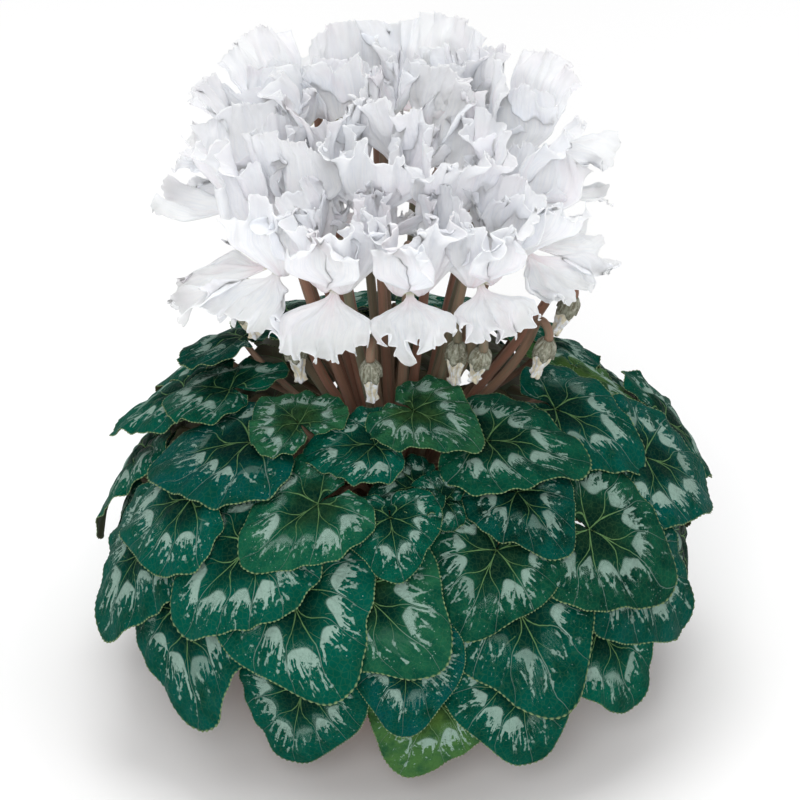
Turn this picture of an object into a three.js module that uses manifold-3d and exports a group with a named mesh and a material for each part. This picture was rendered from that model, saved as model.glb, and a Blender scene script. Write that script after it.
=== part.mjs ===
// A potted cyclamen with fringed white flowers, in millimetres, +Z up.
// The origin is the middle of the pot's underside, and -Y is the plant's front.
// The plant grows from one tuber. Its leaf stalks and flower stalks are one body with it, and each stalk ends
// just under its own leaf blade or on top of its own flower.

import * as THREE from "three";
import { mergeVertices } from "three/addons/utils/BufferGeometryUtils.js";
import Module from "manifold-3d";

const wasm = await Module();
wasm.setup();

// Pot, soil and tuber
const POT = { height: 122, footRadius: 56, bandRadius: 73, rimRadius: 80, wall: 3, floor: 4 };
const RIM = { depth: 20, taper: 1 };
const DRAIN = { count: 5, radius: 4.5, ring: 36, sides: 6 };
const SOIL = { level: 104, mound: 4, shoulder: 0.7, clearance: 0.35 };
const TUBER = { radius: 31, halfHeight: 17, centre: 107, clearance: 0.35, sides: 8, rings: 5 };
const ROUND_SIDES = 16;

// The leafy dome that the joints of stalk and blade lie on: an egg shape, a little shallower at the back
const DOME = { radius: 180, up: 140, down: 120, centre: 95, back: 0.92 };

// Leaf blades: a heart with a pointed tip and a deep sinus (widths in degrees from the tip), folded a little
// along the midrib, waved towards the margin and bent downwards over the bend radius
const BLADE = { thickness: 0.9, clear: 1, segments: 12, innerSegments: 4, inner: 0.5, slit: 170 };
const TEETH = { notch: 0.96 };
const HEART = { body: 0.7, tip: 0.3, tipWidth: 25, sinus: 0.38, sinusWidth: 38 };
const BLADE_FORM = { fold: 0.12, flatter: 0.6, wave: 0.05, bend: 130 };
const BLADE_VARY = { width: 0.08, fold: 0.05, phase: 3 };

// Pitch and roll, in degrees, tilt every blade the same way, so that they lie on one another like shingles
const SHINGLE = { pitch: 12, pitchVary: 4, roll: 6, sprayRoll: 1, rollVary: 2 };

// How far a blade is raised off the dome, and how much of it has to lie in another of its spray
const LIFT = { step: 1.25, least: -7.5, most: 45 };
const FUSED_VOLUME = 2;

// Leaf stalks: the rings they start on, for the lowest and the highest leaves, and their way up through the
// crown
const PETIOLE = { radius: 2.1, sides: 3, steps: 3, foot: 4, approach: 20, reach: 35, gap: 0.3 };
const PETIOLE_RINGS = { low: 27, high: 18, lowHeight: 90, highHeight: 220 };
const CROWN = { height: 185, share: 0.25, least: 12 };
const SWAYS = [0, 10, -10, 20, -20, 30, -30, 42, -42];
const FOOT_SWAY = 0.4;

// Flower stalks: they start on the tuber at a share of their spread, climb, and hook over onto the flower
const PEDUNCLE = { radius: 2.7, sides: 4, steps: 4, foot: 8, footShare: 0.17 };
const HOOK = { steps: 3, side: 13, rise: 5 };
const CLIMB = { spread: 0.12, low: 75, high: 62, looks: 40 };

// Flowers: a small cup that opens downwards, with five petals swept up from its lip. Angles are in degrees
// about the crown's axis, from the stalk.
const CUP = { mouth: 8, waist: 7.2, waistHeight: 8.25, inside: 5.2, height: 11, roof: 2 };
const CUP_FACETS = { sides: 5, turn: 18 };
const CALYX = { radius: 5, height: 6, sides: 4, gap: 0.35 };
const PETAL = { length: 66, width: 64, thickness: 0.9, root: 5.6, rise: 3, turn: 14, lip: -35 };
const PETAL_STEPS = 16;
const PETAL_FORM = { neck: 0.09, opens: 0.1, open: 0.6, rounding: 0.17, notch: 0.93, hollow: 0.1 };
const RUFFLE = { height: 4.5, waves: 2.6 };
const PETAL_VARY = { angle: 4, flare: 7, droop: 0.08, curl: 12, twist: 16, ruffle: 1, phase: 3, size: 0.1 };
const PETALS = [
  { angle: 46, flare: 20, curl: 18, layer: 2 },
  { angle: 116, drooping: true, curl: 8, layer: 1 },
  { angle: 180, flare: 6, curl: 18, layer: 0 },
  { angle: 244, drooping: true, curl: 8, layer: 1 },
  { angle: 314, flare: 20, curl: 18, layer: 2 },
];
const DROOP_SHARE = 0.94;

// In the front row, one petal hangs over the stalks: it is shorter and narrower, and those beside it stand
// up, nearer to one another
const HANGING = {
  index: 2,
  petal: { drooping: true, curl: 4, layer: 1, length: 0.77, width: 0.84 },
  beside: { drooping: false, flare: 6, curl: 10, layer: 0, nearer: 33 },
};

// Rows of points across a petal, from lip to edge: share of its length and number of points
const PETAL_ROWS = [[0, 2], [0.22, 2], [0.55, 3], [1, 6]];

// The cell that each flower keeps to: the height of its heart above the mouth, the gaps to its walls and the
// heights at which it looks out for passing stalks
const CELL = { heart: 32, soft: 8, gap: 1.15, layer: 0.7, reach: 140, stalkReach: 70, passes: 8 };
const LOOKOUTS = [-10, 20, 45];

// How far the heads at the plant's sides turn to its front, in degrees
const TURN_TO_FRONT = 25;

// Buds
const BUD = { radius: 5.6, length: 27, shoulder: 5, sides: 4 };
const BUD_FORM = { waist: 0.6, waistHeight: 0.7, wideHeight: 0.25 };

const rad = THREE.MathUtils.degToRad;
const UP = new THREE.Vector3(0, 0, 1);

// A repeatable draw between -1 and 1 for piece k
function wobble(k, salt) {
  const x = Math.sin(k * 12.9898 + salt * 78.233) * 43758.5453;
  return 2 * (x - Math.floor(x)) - 1;
}

// Leaves: where the joint of stalk and blade lies on the dome (azimuth from the front, to the right, and
// height), which way the tip points (0 is straight downhill, positive to the right) and the length from joint
// to tip.
// They are in the order in which they lie on one another, lowest first. Leaves of one spray are fused.
const LEAVES = [
  { id: 35, azimuth: 86, height: 100, heading: -6, length: 68, spray: "a" },
  { id: 36, azimuth: 113, height: 96, heading: 6, length: 68, spray: "a" },
  { id: 37, azimuth: 140, height: 98, heading: -8, length: 68, spray: "a" },
  { id: 38, azimuth: 168, height: 92, heading: 8, length: 68, spray: "b" },
  { id: 39, azimuth: 194, height: 96, heading: -4, length: 68, spray: "b" },
  { id: 40, azimuth: 222, height: 94, heading: 5, length: 68, spray: "c" },
  { id: 41, azimuth: 249, height: 98, heading: 4, length: 68, spray: "c" },
  { id: 42, azimuth: 276, height: 100, heading: -6, length: 66, spray: "c" },
  { id: 20, azimuth: 7, height: 88, heading: -20, length: 54 },
  { id: 22, azimuth: -17, height: 92, heading: -10, length: 56 },
  { id: 19, azimuth: 22, height: 101, heading: 6, length: 60 },
  { id: 18, azimuth: 42, height: 108, heading: 17, length: 62 },
  { id: 21, azimuth: 2, height: 118, heading: -3, length: 48 },
  { id: 23, azimuth: -43, height: 122, heading: 18, length: 74 },
  { id: 17, azimuth: 51, height: 136, heading: 34, length: 68 },
  { id: 43, azimuth: 100, height: 142, heading: 8, length: 66, spray: "d" },
  { id: 44, azimuth: 126, height: 142, heading: -8, length: 68, spray: "d" },
  { id: 45, azimuth: 152, height: 138, heading: 6, length: 68, spray: "d" },
  { id: 46, azimuth: 180, height: 142, heading: -6, length: 68, spray: "e" },
  { id: 47, azimuth: 206, height: 138, heading: 6, length: 68, spray: "e" },
  { id: 48, azimuth: 232, height: 142, heading: -4, length: 68, spray: "e" },
  { id: 49, azimuth: 260, height: 142, heading: 4, length: 66, spray: "e" },
  { id: 24, azimuth: -59, height: 142, heading: -6, length: 70 },
  { id: 14, azimuth: 23, height: 144, heading: 14, length: 76 },
  { id: 12, azimuth: -21, height: 147, heading: 38, length: 70 },
  { id: 33, azimuth: 97, height: 155, heading: 20, length: 60 },
  { id: 11, azimuth: -7, height: 152, heading: 50, length: 66 },
  { id: 9, azimuth: 44, height: 161, heading: 36, length: 66 },
  { id: 13, azimuth: -30, height: 163, heading: -34, length: 68 },
  { id: 10, azimuth: 22, height: 166, heading: -38, length: 56 },
  { id: 25, azimuth: -50, height: 170, heading: -64, length: 66 },
  { id: 16, azimuth: 71, height: 169, heading: 36, length: 66 },
  { id: 50, azimuth: 116, height: 178, heading: 8, length: 64, spray: "f" },
  { id: 51, azimuth: 144, height: 180, heading: -10, length: 64, spray: "f" },
  { id: 52, azimuth: 176, height: 180, heading: 8, length: 64, spray: "g" },
  { id: 53, azimuth: 206, height: 180, heading: -6, length: 64, spray: "g" },
  { id: 54, azimuth: 236, height: 180, heading: 4, length: 62, spray: "h" },
  { id: 55, azimuth: 262, height: 184, heading: -8, length: 60, spray: "h" },
  { id: 7, azimuth: -1, height: 183, heading: 8, length: 40, spray: "i" },
  { id: 31, azimuth: 6, height: 196, heading: -80, length: 30, spray: "i" },
  { id: 30, azimuth: 12, height: 189, heading: -100, length: 28, spray: "i" },
  { id: 6, azimuth: -18, height: 186, heading: -44, length: 56 },
  { id: 8, azimuth: 31, height: 187, heading: 12, length: 48 },
  { id: 34, azimuth: 122, height: 196, heading: 20, length: 52, spray: "j" },
  { id: 32, azimuth: 99, height: 198, heading: 8, length: 54, spray: "j" },
  { id: 1, azimuth: -45, height: 200, heading: -60, length: 72 },
  { id: 15, azimuth: 61, height: 205, heading: 14, length: 62 },
  { id: 5, azimuth: 29, height: 207, heading: 60, length: 62 },
  { id: 3, azimuth: -6, height: 209, heading: -92, length: 44 },
  { id: 56, azimuth: 140, height: 204, heading: 4, length: 58, spray: "k" },
  { id: 57, azimuth: 180, height: 206, heading: -8, length: 58, spray: "k" },
  { id: 58, azimuth: 218, height: 204, heading: 10, length: 58, spray: "k" },
  { id: 26, azimuth: -76, height: 206, heading: -56, length: 58 },
  { id: 29, azimuth: -102, height: 209, heading: -46, length: 56 },
  { id: 2, azimuth: -33, height: 211, heading: -118, length: 46 },
  { id: 4, azimuth: 7, height: 218, heading: 47, length: 47 },
];

// Flowers: where the mouth is, how far the crown of petals leans outwards and how far its outermost petal
// bends from the crown's axis, both in degrees, and in the front row which of the drooping petals stand up
const FLOWERS = [
  { id: 1, mouth: [-63, -60, 306], lean: 10, droop: 100, stands: [3] },
  { id: 2, mouth: [-32, -80, 305], lean: 12, droop: 104, stands: [1, 3] },
  { id: 3, mouth: [8, -84, 305], lean: 12, droop: 104, stands: [1, 3] },
  { id: 4, mouth: [46, -72, 305], lean: 12, droop: 102, stands: [1, 3] },
  { id: 5, mouth: [70, -36, 307], lean: 12, droop: 98, stands: [1] },
  { id: 6, mouth: [-76, -16, 320], lean: 12, droop: 92 },
  { id: 7, mouth: [-50, -34, 328], lean: 6, droop: 96 },
  { id: 8, mouth: [-12, -40, 330], lean: 6, droop: 98 },
  { id: 9, mouth: [28, -36, 328], lean: 6, droop: 96 },
  { id: 10, mouth: [65, 2, 324], lean: 10, droop: 92 },
  { id: 11, mouth: [-74, 34, 329], lean: 10, droop: 80 },
  { id: 12, mouth: [-34, 8, 343], lean: 4, droop: 92 },
  { id: 13, mouth: [6, 4, 344], lean: 2, droop: 94 },
  { id: 14, mouth: [40, 28, 343], lean: 4, droop: 90 },
  { id: 15, mouth: [-56, 70, 337], lean: 6, droop: 64 },
  { id: 16, mouth: [-16, 52, 345], lean: 2, droop: 60 },
  { id: 17, mouth: [18, 70, 342], lean: 2, droop: 60 },
  { id: 18, mouth: [66, 60, 328], lean: 10, droop: 80 },
];

// Buds: where the top of each hangs from its hook
const BUDS = [
  { id: 1, top: [-91, -24, 262], lean: 26 },
  { id: 2, top: [-59, -38, 243], lean: 14 },
  { id: 3, top: [-14, -74, 248], lean: 14 },
  { id: 4, top: [36, -62, 254], lean: 10 },
  { id: 5, top: [50, -78, 258], lean: 30 },
  { id: 6, top: [88, -54, 252], lean: 22 },
  { id: 7, top: [103, -22, 264], lean: 24 },
];

// Solids

// A closed solid from lists of points and triangles, faces turned outwards
function solidFrom(points, triangles) {
  const vertProperties = new Float32Array(points.flatMap((p) => [p.x, p.y, p.z]));
  const indices = (faces) => new Uint32Array(faces.flat());
  const mesh = (faces) => new wasm.Mesh({ numProp: 3, vertProperties, triVerts: indices(faces) });
  const made = new wasm.Manifold(mesh(triangles));
  return made.volume() > 0 ? made : new wasm.Manifold(mesh(triangles.map(([a, b, c]) => [a, c, b])));
}

// A closed three.js geometry as a solid
function solidOf(geometry) {
  const bare = geometry.index ? geometry.toNonIndexed() : geometry;
  const plain = new THREE.BufferGeometry().setAttribute("position", bare.getAttribute("position"));
  const merged = mergeVertices(plain);
  const position = merged.getAttribute("position");
  const points = Array.from({ length: position.count }, (_, i) =>
    new THREE.Vector3().fromBufferAttribute(position, i),
  );
  const triangles = [];
  for (let i = 0; i < merged.index.count; i += 3) {
    const [a, b, c] = [0, 1, 2].map((k) => merged.index.getX(i + k));
    if (a !== b && b !== c && c !== a) triangles.push([a, b, c]);
  }
  return solidFrom(points, triangles);
}

function geometryOf(solid) {
  const mesh = solid.getMesh();
  const positions = new Float32Array(mesh.numVert * 3);
  for (let i = 0; i < mesh.numVert; i += 1) {
    positions.set(mesh.vertProperties.subarray(i * mesh.numProp, i * mesh.numProp + 3), i * 3);
  }
  const geometry = new THREE.BufferGeometry();
  geometry.setAttribute("position", new THREE.BufferAttribute(positions, 3));
  geometry.setIndex(new THREE.BufferAttribute(mesh.triVerts, 1));
  geometry.computeVertexNormals();
  return geometry;
}

// The biggest body of a solid: scraps that a cut leaves loose are dropped
function largest(solid) {
  return solid.decompose().reduce((a, b) => (b.volume() > a.volume() ? b : a));
}

function boxesTouch(a, b) {
  const p = a.boundingBox();
  const q = b.boundingBox();
  return [0, 1, 2].every((i) => p.min[i] <= q.max[i] && q.min[i] <= p.max[i]);
}

function overlap(a, b) {
  return boxesTouch(a, b) ? a.intersect(b).volume() : 0;
}

// A profile of [radius, height] pairs turned about the Z axis
function turned(profile, sides) {
  const points = profile.map(([r, h]) => new THREE.Vector2(r, h));
  return new THREE.LatheGeometry(points, sides).rotateX(Math.PI / 2);
}

// A thin sheet made solid: its points move half the thickness along their normals, to either side
function thicken(points, triangles, thickness) {
  const normals = points.map(() => new THREE.Vector3());
  const edges = new Map();
  for (const [a, b, c] of triangles) {
    const face = new THREE.Vector3().subVectors(points[b], points[a])
      .cross(new THREE.Vector3().subVectors(points[c], points[a]));
    for (const v of [a, b, c]) normals[v].add(face);
    for (const [from, to] of [[a, b], [b, c], [c, a]]) {
      if (!edges.delete(`${to},${from}`)) edges.set(`${from},${to}`, [from, to]);
    }
  }
  for (const normal of normals) normal.normalize();
  const side = (distance) => points.map((p, i) => p.clone().addScaledVector(normals[i], distance));
  const n = points.length;
  const faces = triangles.flatMap(([a, b, c]) => [[a, b, c], [a + n, c + n, b + n]]);
  for (const [a, b] of edges.values()) faces.push([b, a, a + n], [b, a + n, b + n]);
  return solidFrom([...side(thickness / 2), ...side(-thickness / 2)], faces);
}

// Triangles between two rows of points that run the same way, whatever their counts
function zip(first, second) {
  const faces = [];
  let i = 0;
  let j = 0;
  while (i < first.length - 1 || j < second.length - 1) {
    const firstIsNext = (i + 1) * (second.length - 1) <= (j + 1) * (first.length - 1);
    if (i < first.length - 1 && (firstIsNext || j === second.length - 1)) {
      faces.push([first[i], first[i + 1], second[j]]);
      i += 1;
    } else {
      faces.push([first[i], second[j + 1], second[j]]);
      j += 1;
    }
  }
  return faces;
}

// Pot, soil and tuber

function potSolid() {
  const shoulder = POT.height - RIM.depth;
  const profile = [
    [0, POT.floor],
    [POT.footRadius - POT.wall, POT.floor],
    [POT.bandRadius - POT.wall, shoulder],
    [POT.rimRadius - POT.wall, POT.height],
    [POT.rimRadius, POT.height],
    [POT.rimRadius - RIM.taper, shoulder],
    [POT.bandRadius, shoulder],
    [POT.footRadius, 0],
    [0, 0],
  ];
  let pot = solidOf(turned(profile, ROUND_SIDES));
  for (let i = 0; i < DRAIN.count; i += 1) {
    const angle = (2 * Math.PI * i) / DRAIN.count;
    const hole = new THREE.CylinderGeometry(DRAIN.radius, DRAIN.radius, 4 * POT.floor, DRAIN.sides)
      .rotateX(Math.PI / 2)
      .translate(DRAIN.ring * Math.cos(angle), DRAIN.ring * Math.sin(angle), 0);
    pot = pot.subtract(solidOf(hole));
  }
  return pot;
}

function tuberSolid(spare = 0) {
  const ball = new THREE.SphereGeometry(1, TUBER.sides, TUBER.rings).rotateX(Math.PI / 2);
  ball.scale(TUBER.radius + spare, TUBER.radius + spare, TUBER.halfHeight + spare);
  return solidOf(ball.translate(0, 0, TUBER.centre));
}

function soilSolid() {
  const shoulder = POT.height - RIM.depth;
  const slope = (POT.bandRadius - POT.footRadius) / (shoulder - POT.floor);
  const inside = (height) => POT.footRadius - POT.wall + slope * (height - POT.floor) - 2 * SOIL.clearance;
  const foot = POT.floor + SOIL.clearance;
  const edge = SOIL.level - SOIL.mound;
  const profile = [
    [0, foot],
    [inside(foot), foot],
    [inside(edge), edge],
    [inside(edge) * SOIL.shoulder, SOIL.level],
    [0, SOIL.level + SOIL.mound],
  ];
  return solidOf(turned(profile, ROUND_SIDES)).subtract(tuberSolid(TUBER.clearance));
}

// Stalks

// A curve given by its own function, with its steps evenly spaced in that function's parameter
class Route extends THREE.Curve {
  constructor(at) {
    super();
    this.at = at;
  }

  getPoint(t) {
    return this.at(t);
  }

  getUtoTmapping(u) {
    return u;
  }
}

function sweep(route, radius, sides, steps) {
  const section = Array.from({ length: sides }, (_, i) => {
    const angle = (2 * Math.PI * i) / sides;
    return new THREE.Vector2(radius * Math.cos(angle), radius * Math.sin(angle));
  });
  return solidOf(new THREE.ExtrudeGeometry(new THREE.Shape(section), { steps, extrudePath: route }));
}

function outward(azimuth) {
  return new THREE.Vector3(Math.sin(rad(azimuth)), -Math.cos(rad(azimuth)), 0);
}

// The stalk of a nodding flower or bud: up beside it, over in a half circle, and down onto its seat
function peduncleRoute(place, seat) {
  const local = (x, z) => new THREE.Vector3(x, 0, z).applyMatrix4(place);
  const top = seat + HOOK.rise;
  const shoulder = local(HOOK.side, top);
  const spread = Math.hypot(shoulder.x, shoulder.y);
  const away = new THREE.Vector3(shoulder.x, shoulder.y, 0).normalize();
  const start = away.clone().multiplyScalar(PEDUNCLE.footShare * spread).setZ(TUBER.centre + PEDUNCLE.foot);
  const climb = new THREE.CubicBezierCurve3(
    start,
    start.clone().addScaledVector(away, spread * CLIMB.spread).addScaledVector(UP, CLIMB.low),
    local(HOOK.side, top - CLIMB.high),
    shoulder,
  );
  const share = PEDUNCLE.steps / (PEDUNCLE.steps + HOOK.steps);
  const half = HOOK.side / 2;
  return new Route((t) => {
    if (t <= share) return climb.getPoint(t / share);
    const angle = (Math.PI * (t - share)) / (1 - share);
    return local(half + half * Math.cos(angle), top + half * Math.sin(angle));
  });
}

function peduncleSolid(route) {
  return sweep(route, PEDUNCLE.radius, PEDUNCLE.sides, PEDUNCLE.steps + HOOK.steps);
}

// Flowers

// A flower's own axes: X towards its stalk, on the plant's side, and Z along its crown of petals
function nodding(position, lean) {
  const origin = new THREE.Vector3(...position);
  const azimuth = Math.atan2(origin.x, -origin.y);
  const away = outward(THREE.MathUtils.radToDeg(azimuth) - TURN_TO_FRONT * Math.sin(azimuth));
  const axis = UP.clone().multiplyScalar(Math.cos(rad(lean))).addScaledVector(away, Math.sin(rad(lean)));
  const side = away.negate().addScaledVector(axis, -away.dot(axis)).normalize();
  const across = new THREE.Vector3().crossVectors(axis, side);
  return new THREE.Matrix4().makeBasis(side, across, axis).setPosition(origin);
}

// The line along the middle of a petal: distance from the crown's axis, height above the mouth, and slope
function petalLine(along, flare, curl) {
  const start = rad(PETAL.lip);
  const end = rad(90 - flare);
  let r = PETAL.root;
  let w = PETAL.rise;
  let slope = start;
  const step = (along * PETAL.length) / PETAL_STEPS;
  for (let i = 0; i < PETAL_STEPS; i += 1) {
    const run = (i + 0.5) * step;
    const late = Math.max(0, (run - PETAL.turn) / (PETAL.length - PETAL.turn));
    slope = start + (end - start) * THREE.MathUtils.smoothstep(run, 0, PETAL.turn) - rad(curl) * late;
    r += Math.cos(slope) * step;
    w += Math.sin(slope) * step;
  }
  return [r, w, slope];
}

// One point of a petal in its flower's axes: s runs from lip to edge, u from side to side
function petalPoint(petal, s, u) {
  const along = petal.length * s * (1 - PETAL_FORM.rounding * u * u * s);
  const [r, w, slope] = petalLine(along, petal.flare, petal.curl);
  const open = THREE.MathUtils.smoothstep(s, PETAL_FORM.opens, PETAL_FORM.open);
  const half = (PETAL.width / 2) * THREE.MathUtils.lerp(PETAL_FORM.neck, 1, open) * petal.size;
  const twist = rad(petal.twist) * s;
  const lateral = u * half * Math.cos(twist);
  const ruffle = petal.ruffle * s ** 3 * Math.sin(Math.PI * RUFFLE.waves * u + petal.phase);
  const proud = u * half * Math.sin(twist) + ruffle - PETAL_FORM.hollow * half * u * u;
  const radius = r + Math.sin(slope) * proud;
  const turn = rad(petal.angle);
  return new THREE.Vector3(
    radius * Math.cos(turn) - lateral * Math.sin(turn),
    radius * Math.sin(turn) + lateral * Math.cos(turn),
    w - Math.cos(slope) * proud,
  );
}

// How each of a flower's petals stands: the one opposite the stalk rises in front of it, and the two beside
// that one droop
function petalsOf(flower) {
  return PETALS.map((usual, i) => {
    const vary = (key, salt) => PETAL_VARY[key] * wobble(flower.id * 7 + i, salt);
    const hanging = flower.stands && i === HANGING.index && HANGING.petal;
    const standing = flower.stands?.includes(i) && HANGING.beside;
    const petal = { length: 1, width: 1, nearer: 0, ...usual, ...hanging, ...standing };
    const { angle, drooping, flare, curl, layer, length, width, nearer } = petal;
    return {
      angle: angle + Math.sign(180 - angle) * nearer + vary("angle", 1),
      length,
      flare: drooping ? flower.droop * (DROOP_SHARE + vary("droop", 2)) : flare + vary("flare", 2),
      curl: curl + vary("curl", 3),
      twist: vary("twist", 4),
      ruffle: RUFFLE.height + vary("ruffle", 5),
      phase: vary("phase", 6),
      size: width * (1 + vary("size", 7)),
      gap: CELL.gap + CELL.layer * layer,
      parted: Math.cos(rad(angle)) > 0.5,
    };
  });
}

// Flat limits that keep each flower in a cell of its own, clear of its neighbours and of the stalks that pass
function cellOf(flower) {
  const place = flowerPlaces.get(flower.id);
  const onAxis = (matrix, height) => new THREE.Vector3(0, 0, height).applyMatrix4(matrix);
  const heart = onAxis(place, CELL.heart);
  const limits = [];
  for (const [id, other] of flowerPlaces) {
    const far = onAxis(other, CELL.heart);
    if (id === flower.id || far.distanceTo(heart) > CELL.reach) continue;
    limits.push({ at: heart.clone().lerp(far, 0.5), facing: far.sub(heart).normalize() });
  }
  for (const [name, route] of stalkRoutes) {
    if (name === `flower ${flower.id}`) continue;
    for (const height of LOOKOUTS) {
      const from = onAxis(place, height);
      const nearer = (a, b) => (b.distanceTo(from) < a.distanceTo(from) ? b : a);
      const nearest = route.getPoints(CLIMB.looks).reduce(nearer);
      const facing = nearest.clone().sub(from).normalize();
      if (nearest.distanceTo(from) > CELL.stalkReach) continue;
      limits.push({ at: nearest.addScaledVector(facing, -PEDUNCLE.radius), facing });
    }
  }
  const inverse = place.clone().invert();
  for (const { at, facing } of limits) {
    at.applyMatrix4(inverse);
    facing.transformDirection(inverse);
  }
  return limits;
}

// The petals on both sides of a flower's own stalk part around it
function besideStalk(petal) {
  const y = Math.sign(Math.sin(rad(petal.angle)));
  return { at: new THREE.Vector3(0, y * PEDUNCLE.radius, 0), facing: new THREE.Vector3(0, -y, 0) };
}

// Presses a point back from the limits, softly, as petals crowd against their neighbours
function pressed(point, limits, gap) {
  for (let pass = 0; pass < CELL.passes; pass += 1) {
    for (const { at, facing } of limits) {
      const room = at.clone().sub(point).dot(facing);
      if (room >= gap + CELL.soft) continue;
      const kept = pass === 0 ? gap + CELL.soft * Math.exp((room - gap) / CELL.soft - 1) : gap;
      point.addScaledVector(facing, Math.min(0, room - kept));
    }
  }
  return point;
}

function petalSolid(petal, limits) {
  const points = [];
  const rows = PETAL_ROWS.map(([s, count], row) =>
    Array.from({ length: count }, (_, i) => {
      const fringed = row === PETAL_ROWS.length - 1 && i % 2 === 1;
      const point = petalPoint(petal, fringed ? s * PETAL_FORM.notch : s, -1 + (2 * i) / (count - 1));
      points.push(row > 0 ? pressed(point, limits, petal.gap) : point);
      return points.length - 1;
    }),
  );
  return thicken(points, rows.slice(1).flatMap((row, i) => zip(rows[i], row)), PETAL.thickness);
}

function flowerSolid(flower) {
  const profile = [
    [0, CUP.height],
    [CUP.waist, CUP.waistHeight],
    [CUP.mouth, 0],
    [CUP.inside, 0],
    [0, CUP.height - CUP.roof],
  ];
  const cell = cellOf(flower);
  const petals = petalsOf(flower).map((petal) => {
    const limits = petal.parted ? [...cell, besideStalk(petal)] : cell;
    return petalSolid(petal, limits);
  });
  const cup = solidOf(turned(profile, CUP_FACETS.sides).rotateZ(rad(CUP_FACETS.turn)));
  return largest(wasm.Manifold.union([cup, ...petals]));
}

function calyxSolid() {
  const foot = CUP.height + CALYX.gap;
  const top = foot + CALYX.height;
  const profile = [[0, foot], [CALYX.radius, foot], [PEDUNCLE.radius, top], [0, top]];
  return solidOf(turned(profile, CALYX.sides));
}

function budSolid() {
  const profile = [
    [0, -BUD.length],
    [BUD.radius * BUD_FORM.waist, -BUD.length * BUD_FORM.waistHeight],
    [BUD.radius, -BUD.length * BUD_FORM.wideHeight],
    [PEDUNCLE.radius, BUD.shoulder],
    [0, BUD.shoulder],
  ];
  return solidOf(turned(profile, BUD.sides));
}

// Leaves

// Where a leaf lies: X towards its tip, Z out of its upper face, raised by the lift off the dome
function leafPlace(leaf, lift) {
  const shrink = THREE.MathUtils.lerp(1, DOME.back, (1 - Math.cos(rad(leaf.azimuth))) / 2);
  const reach = DOME.radius * shrink;
  const vertical = leaf.height >= DOME.centre ? DOME.up * shrink : DOME.down;
  const level = (leaf.height - DOME.centre) / vertical;
  const joint = outward(leaf.azimuth).multiplyScalar(reach * Math.sqrt(1 - level * level)).setZ(leaf.height);
  const normal = new THREE.Vector3(joint.x / reach, joint.y / reach, (level * reach) / vertical).normalize();
  const downhill = UP.clone().negate().addScaledVector(normal, normal.z).normalize();
  const right = new THREE.Vector3().crossVectors(normal, downhill);
  joint.addScaledVector(normal, lift);
  downhill.applyAxisAngle(right, -rad(SHINGLE.pitch + SHINGLE.pitchVary * wobble(leaf.id, 1)));
  const roll = leaf.spray ? SHINGLE.sprayRoll : SHINGLE.roll;
  right.applyAxisAngle(downhill, rad(roll + SHINGLE.rollVary * wobble(leaf.id, 2)));
  const heading = rad(leaf.heading);
  const tip = downhill.clone().multiplyScalar(Math.cos(heading)).addScaledVector(right, Math.sin(heading));
  const face = downhill.cross(right);
  const across = new THREE.Vector3().crossVectors(face, tip);
  return new THREE.Matrix4().makeBasis(tip, across, face).setPosition(joint);
}

// The outline as a distance from the joint, in shares of the leaf's length
function outline(angle) {
  const a = Math.abs(angle);
  const tip = HEART.tip * Math.exp(-((a / HEART.tipWidth) ** 2));
  const sinus = HEART.sinus * Math.exp(-(((180 - a) / HEART.sinusWidth) ** 2));
  return HEART.body + tip - sinus;
}

// One point of a blade: angle from the tip in degrees, share of the way from joint to edge
function bladePoint(leaf, angle, share) {
  const reach = leaf.length * outline(angle) * share;
  const ahead = reach * Math.cos(rad(angle));
  const beside = reach * Math.sin(rad(angle)) * (1 + BLADE_VARY.width * wobble(leaf.id, 5));
  const k = reach / leaf.length;
  const steepness = BLADE_FORM.fold + BLADE_VARY.fold * wobble(leaf.id, 3);
  const fold = steepness * Math.abs(beside) * (1 - BLADE_FORM.flatter * k);
  const phase = BLADE_VARY.phase * wobble(leaf.id, 4);
  const wave = BLADE_FORM.wave * leaf.length * k ** 3 * Math.sin(rad(3 * angle) + phase);
  return new THREE.Vector3(ahead, beside, fold + wave - (reach * reach) / (2 * BLADE_FORM.bend));
}

function bladeSolid(leaf, thickness) {
  const points = [bladePoint(leaf, 0, 0)];
  const ring = (segments, share, notch) =>
    Array.from({ length: segments + 1 }, (_, i) => {
      const angle = -BLADE.slit + (2 * BLADE.slit * i) / segments;
      points.push(bladePoint(leaf, angle, (i - segments / 2) % 2 ? share * notch : share));
      return points.length - 1;
    });
  const inner = ring(BLADE.innerSegments, BLADE.inner, 1);
  const outer = ring(BLADE.segments, 1, TEETH.notch);
  const faces = inner.slice(1).map((b, i) => [0, inner[i], b]);
  faces.push(...zip(inner, outer).map(([a, b, c]) => [a, c, b]));
  return thicken(points, faces, thickness);
}

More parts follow.
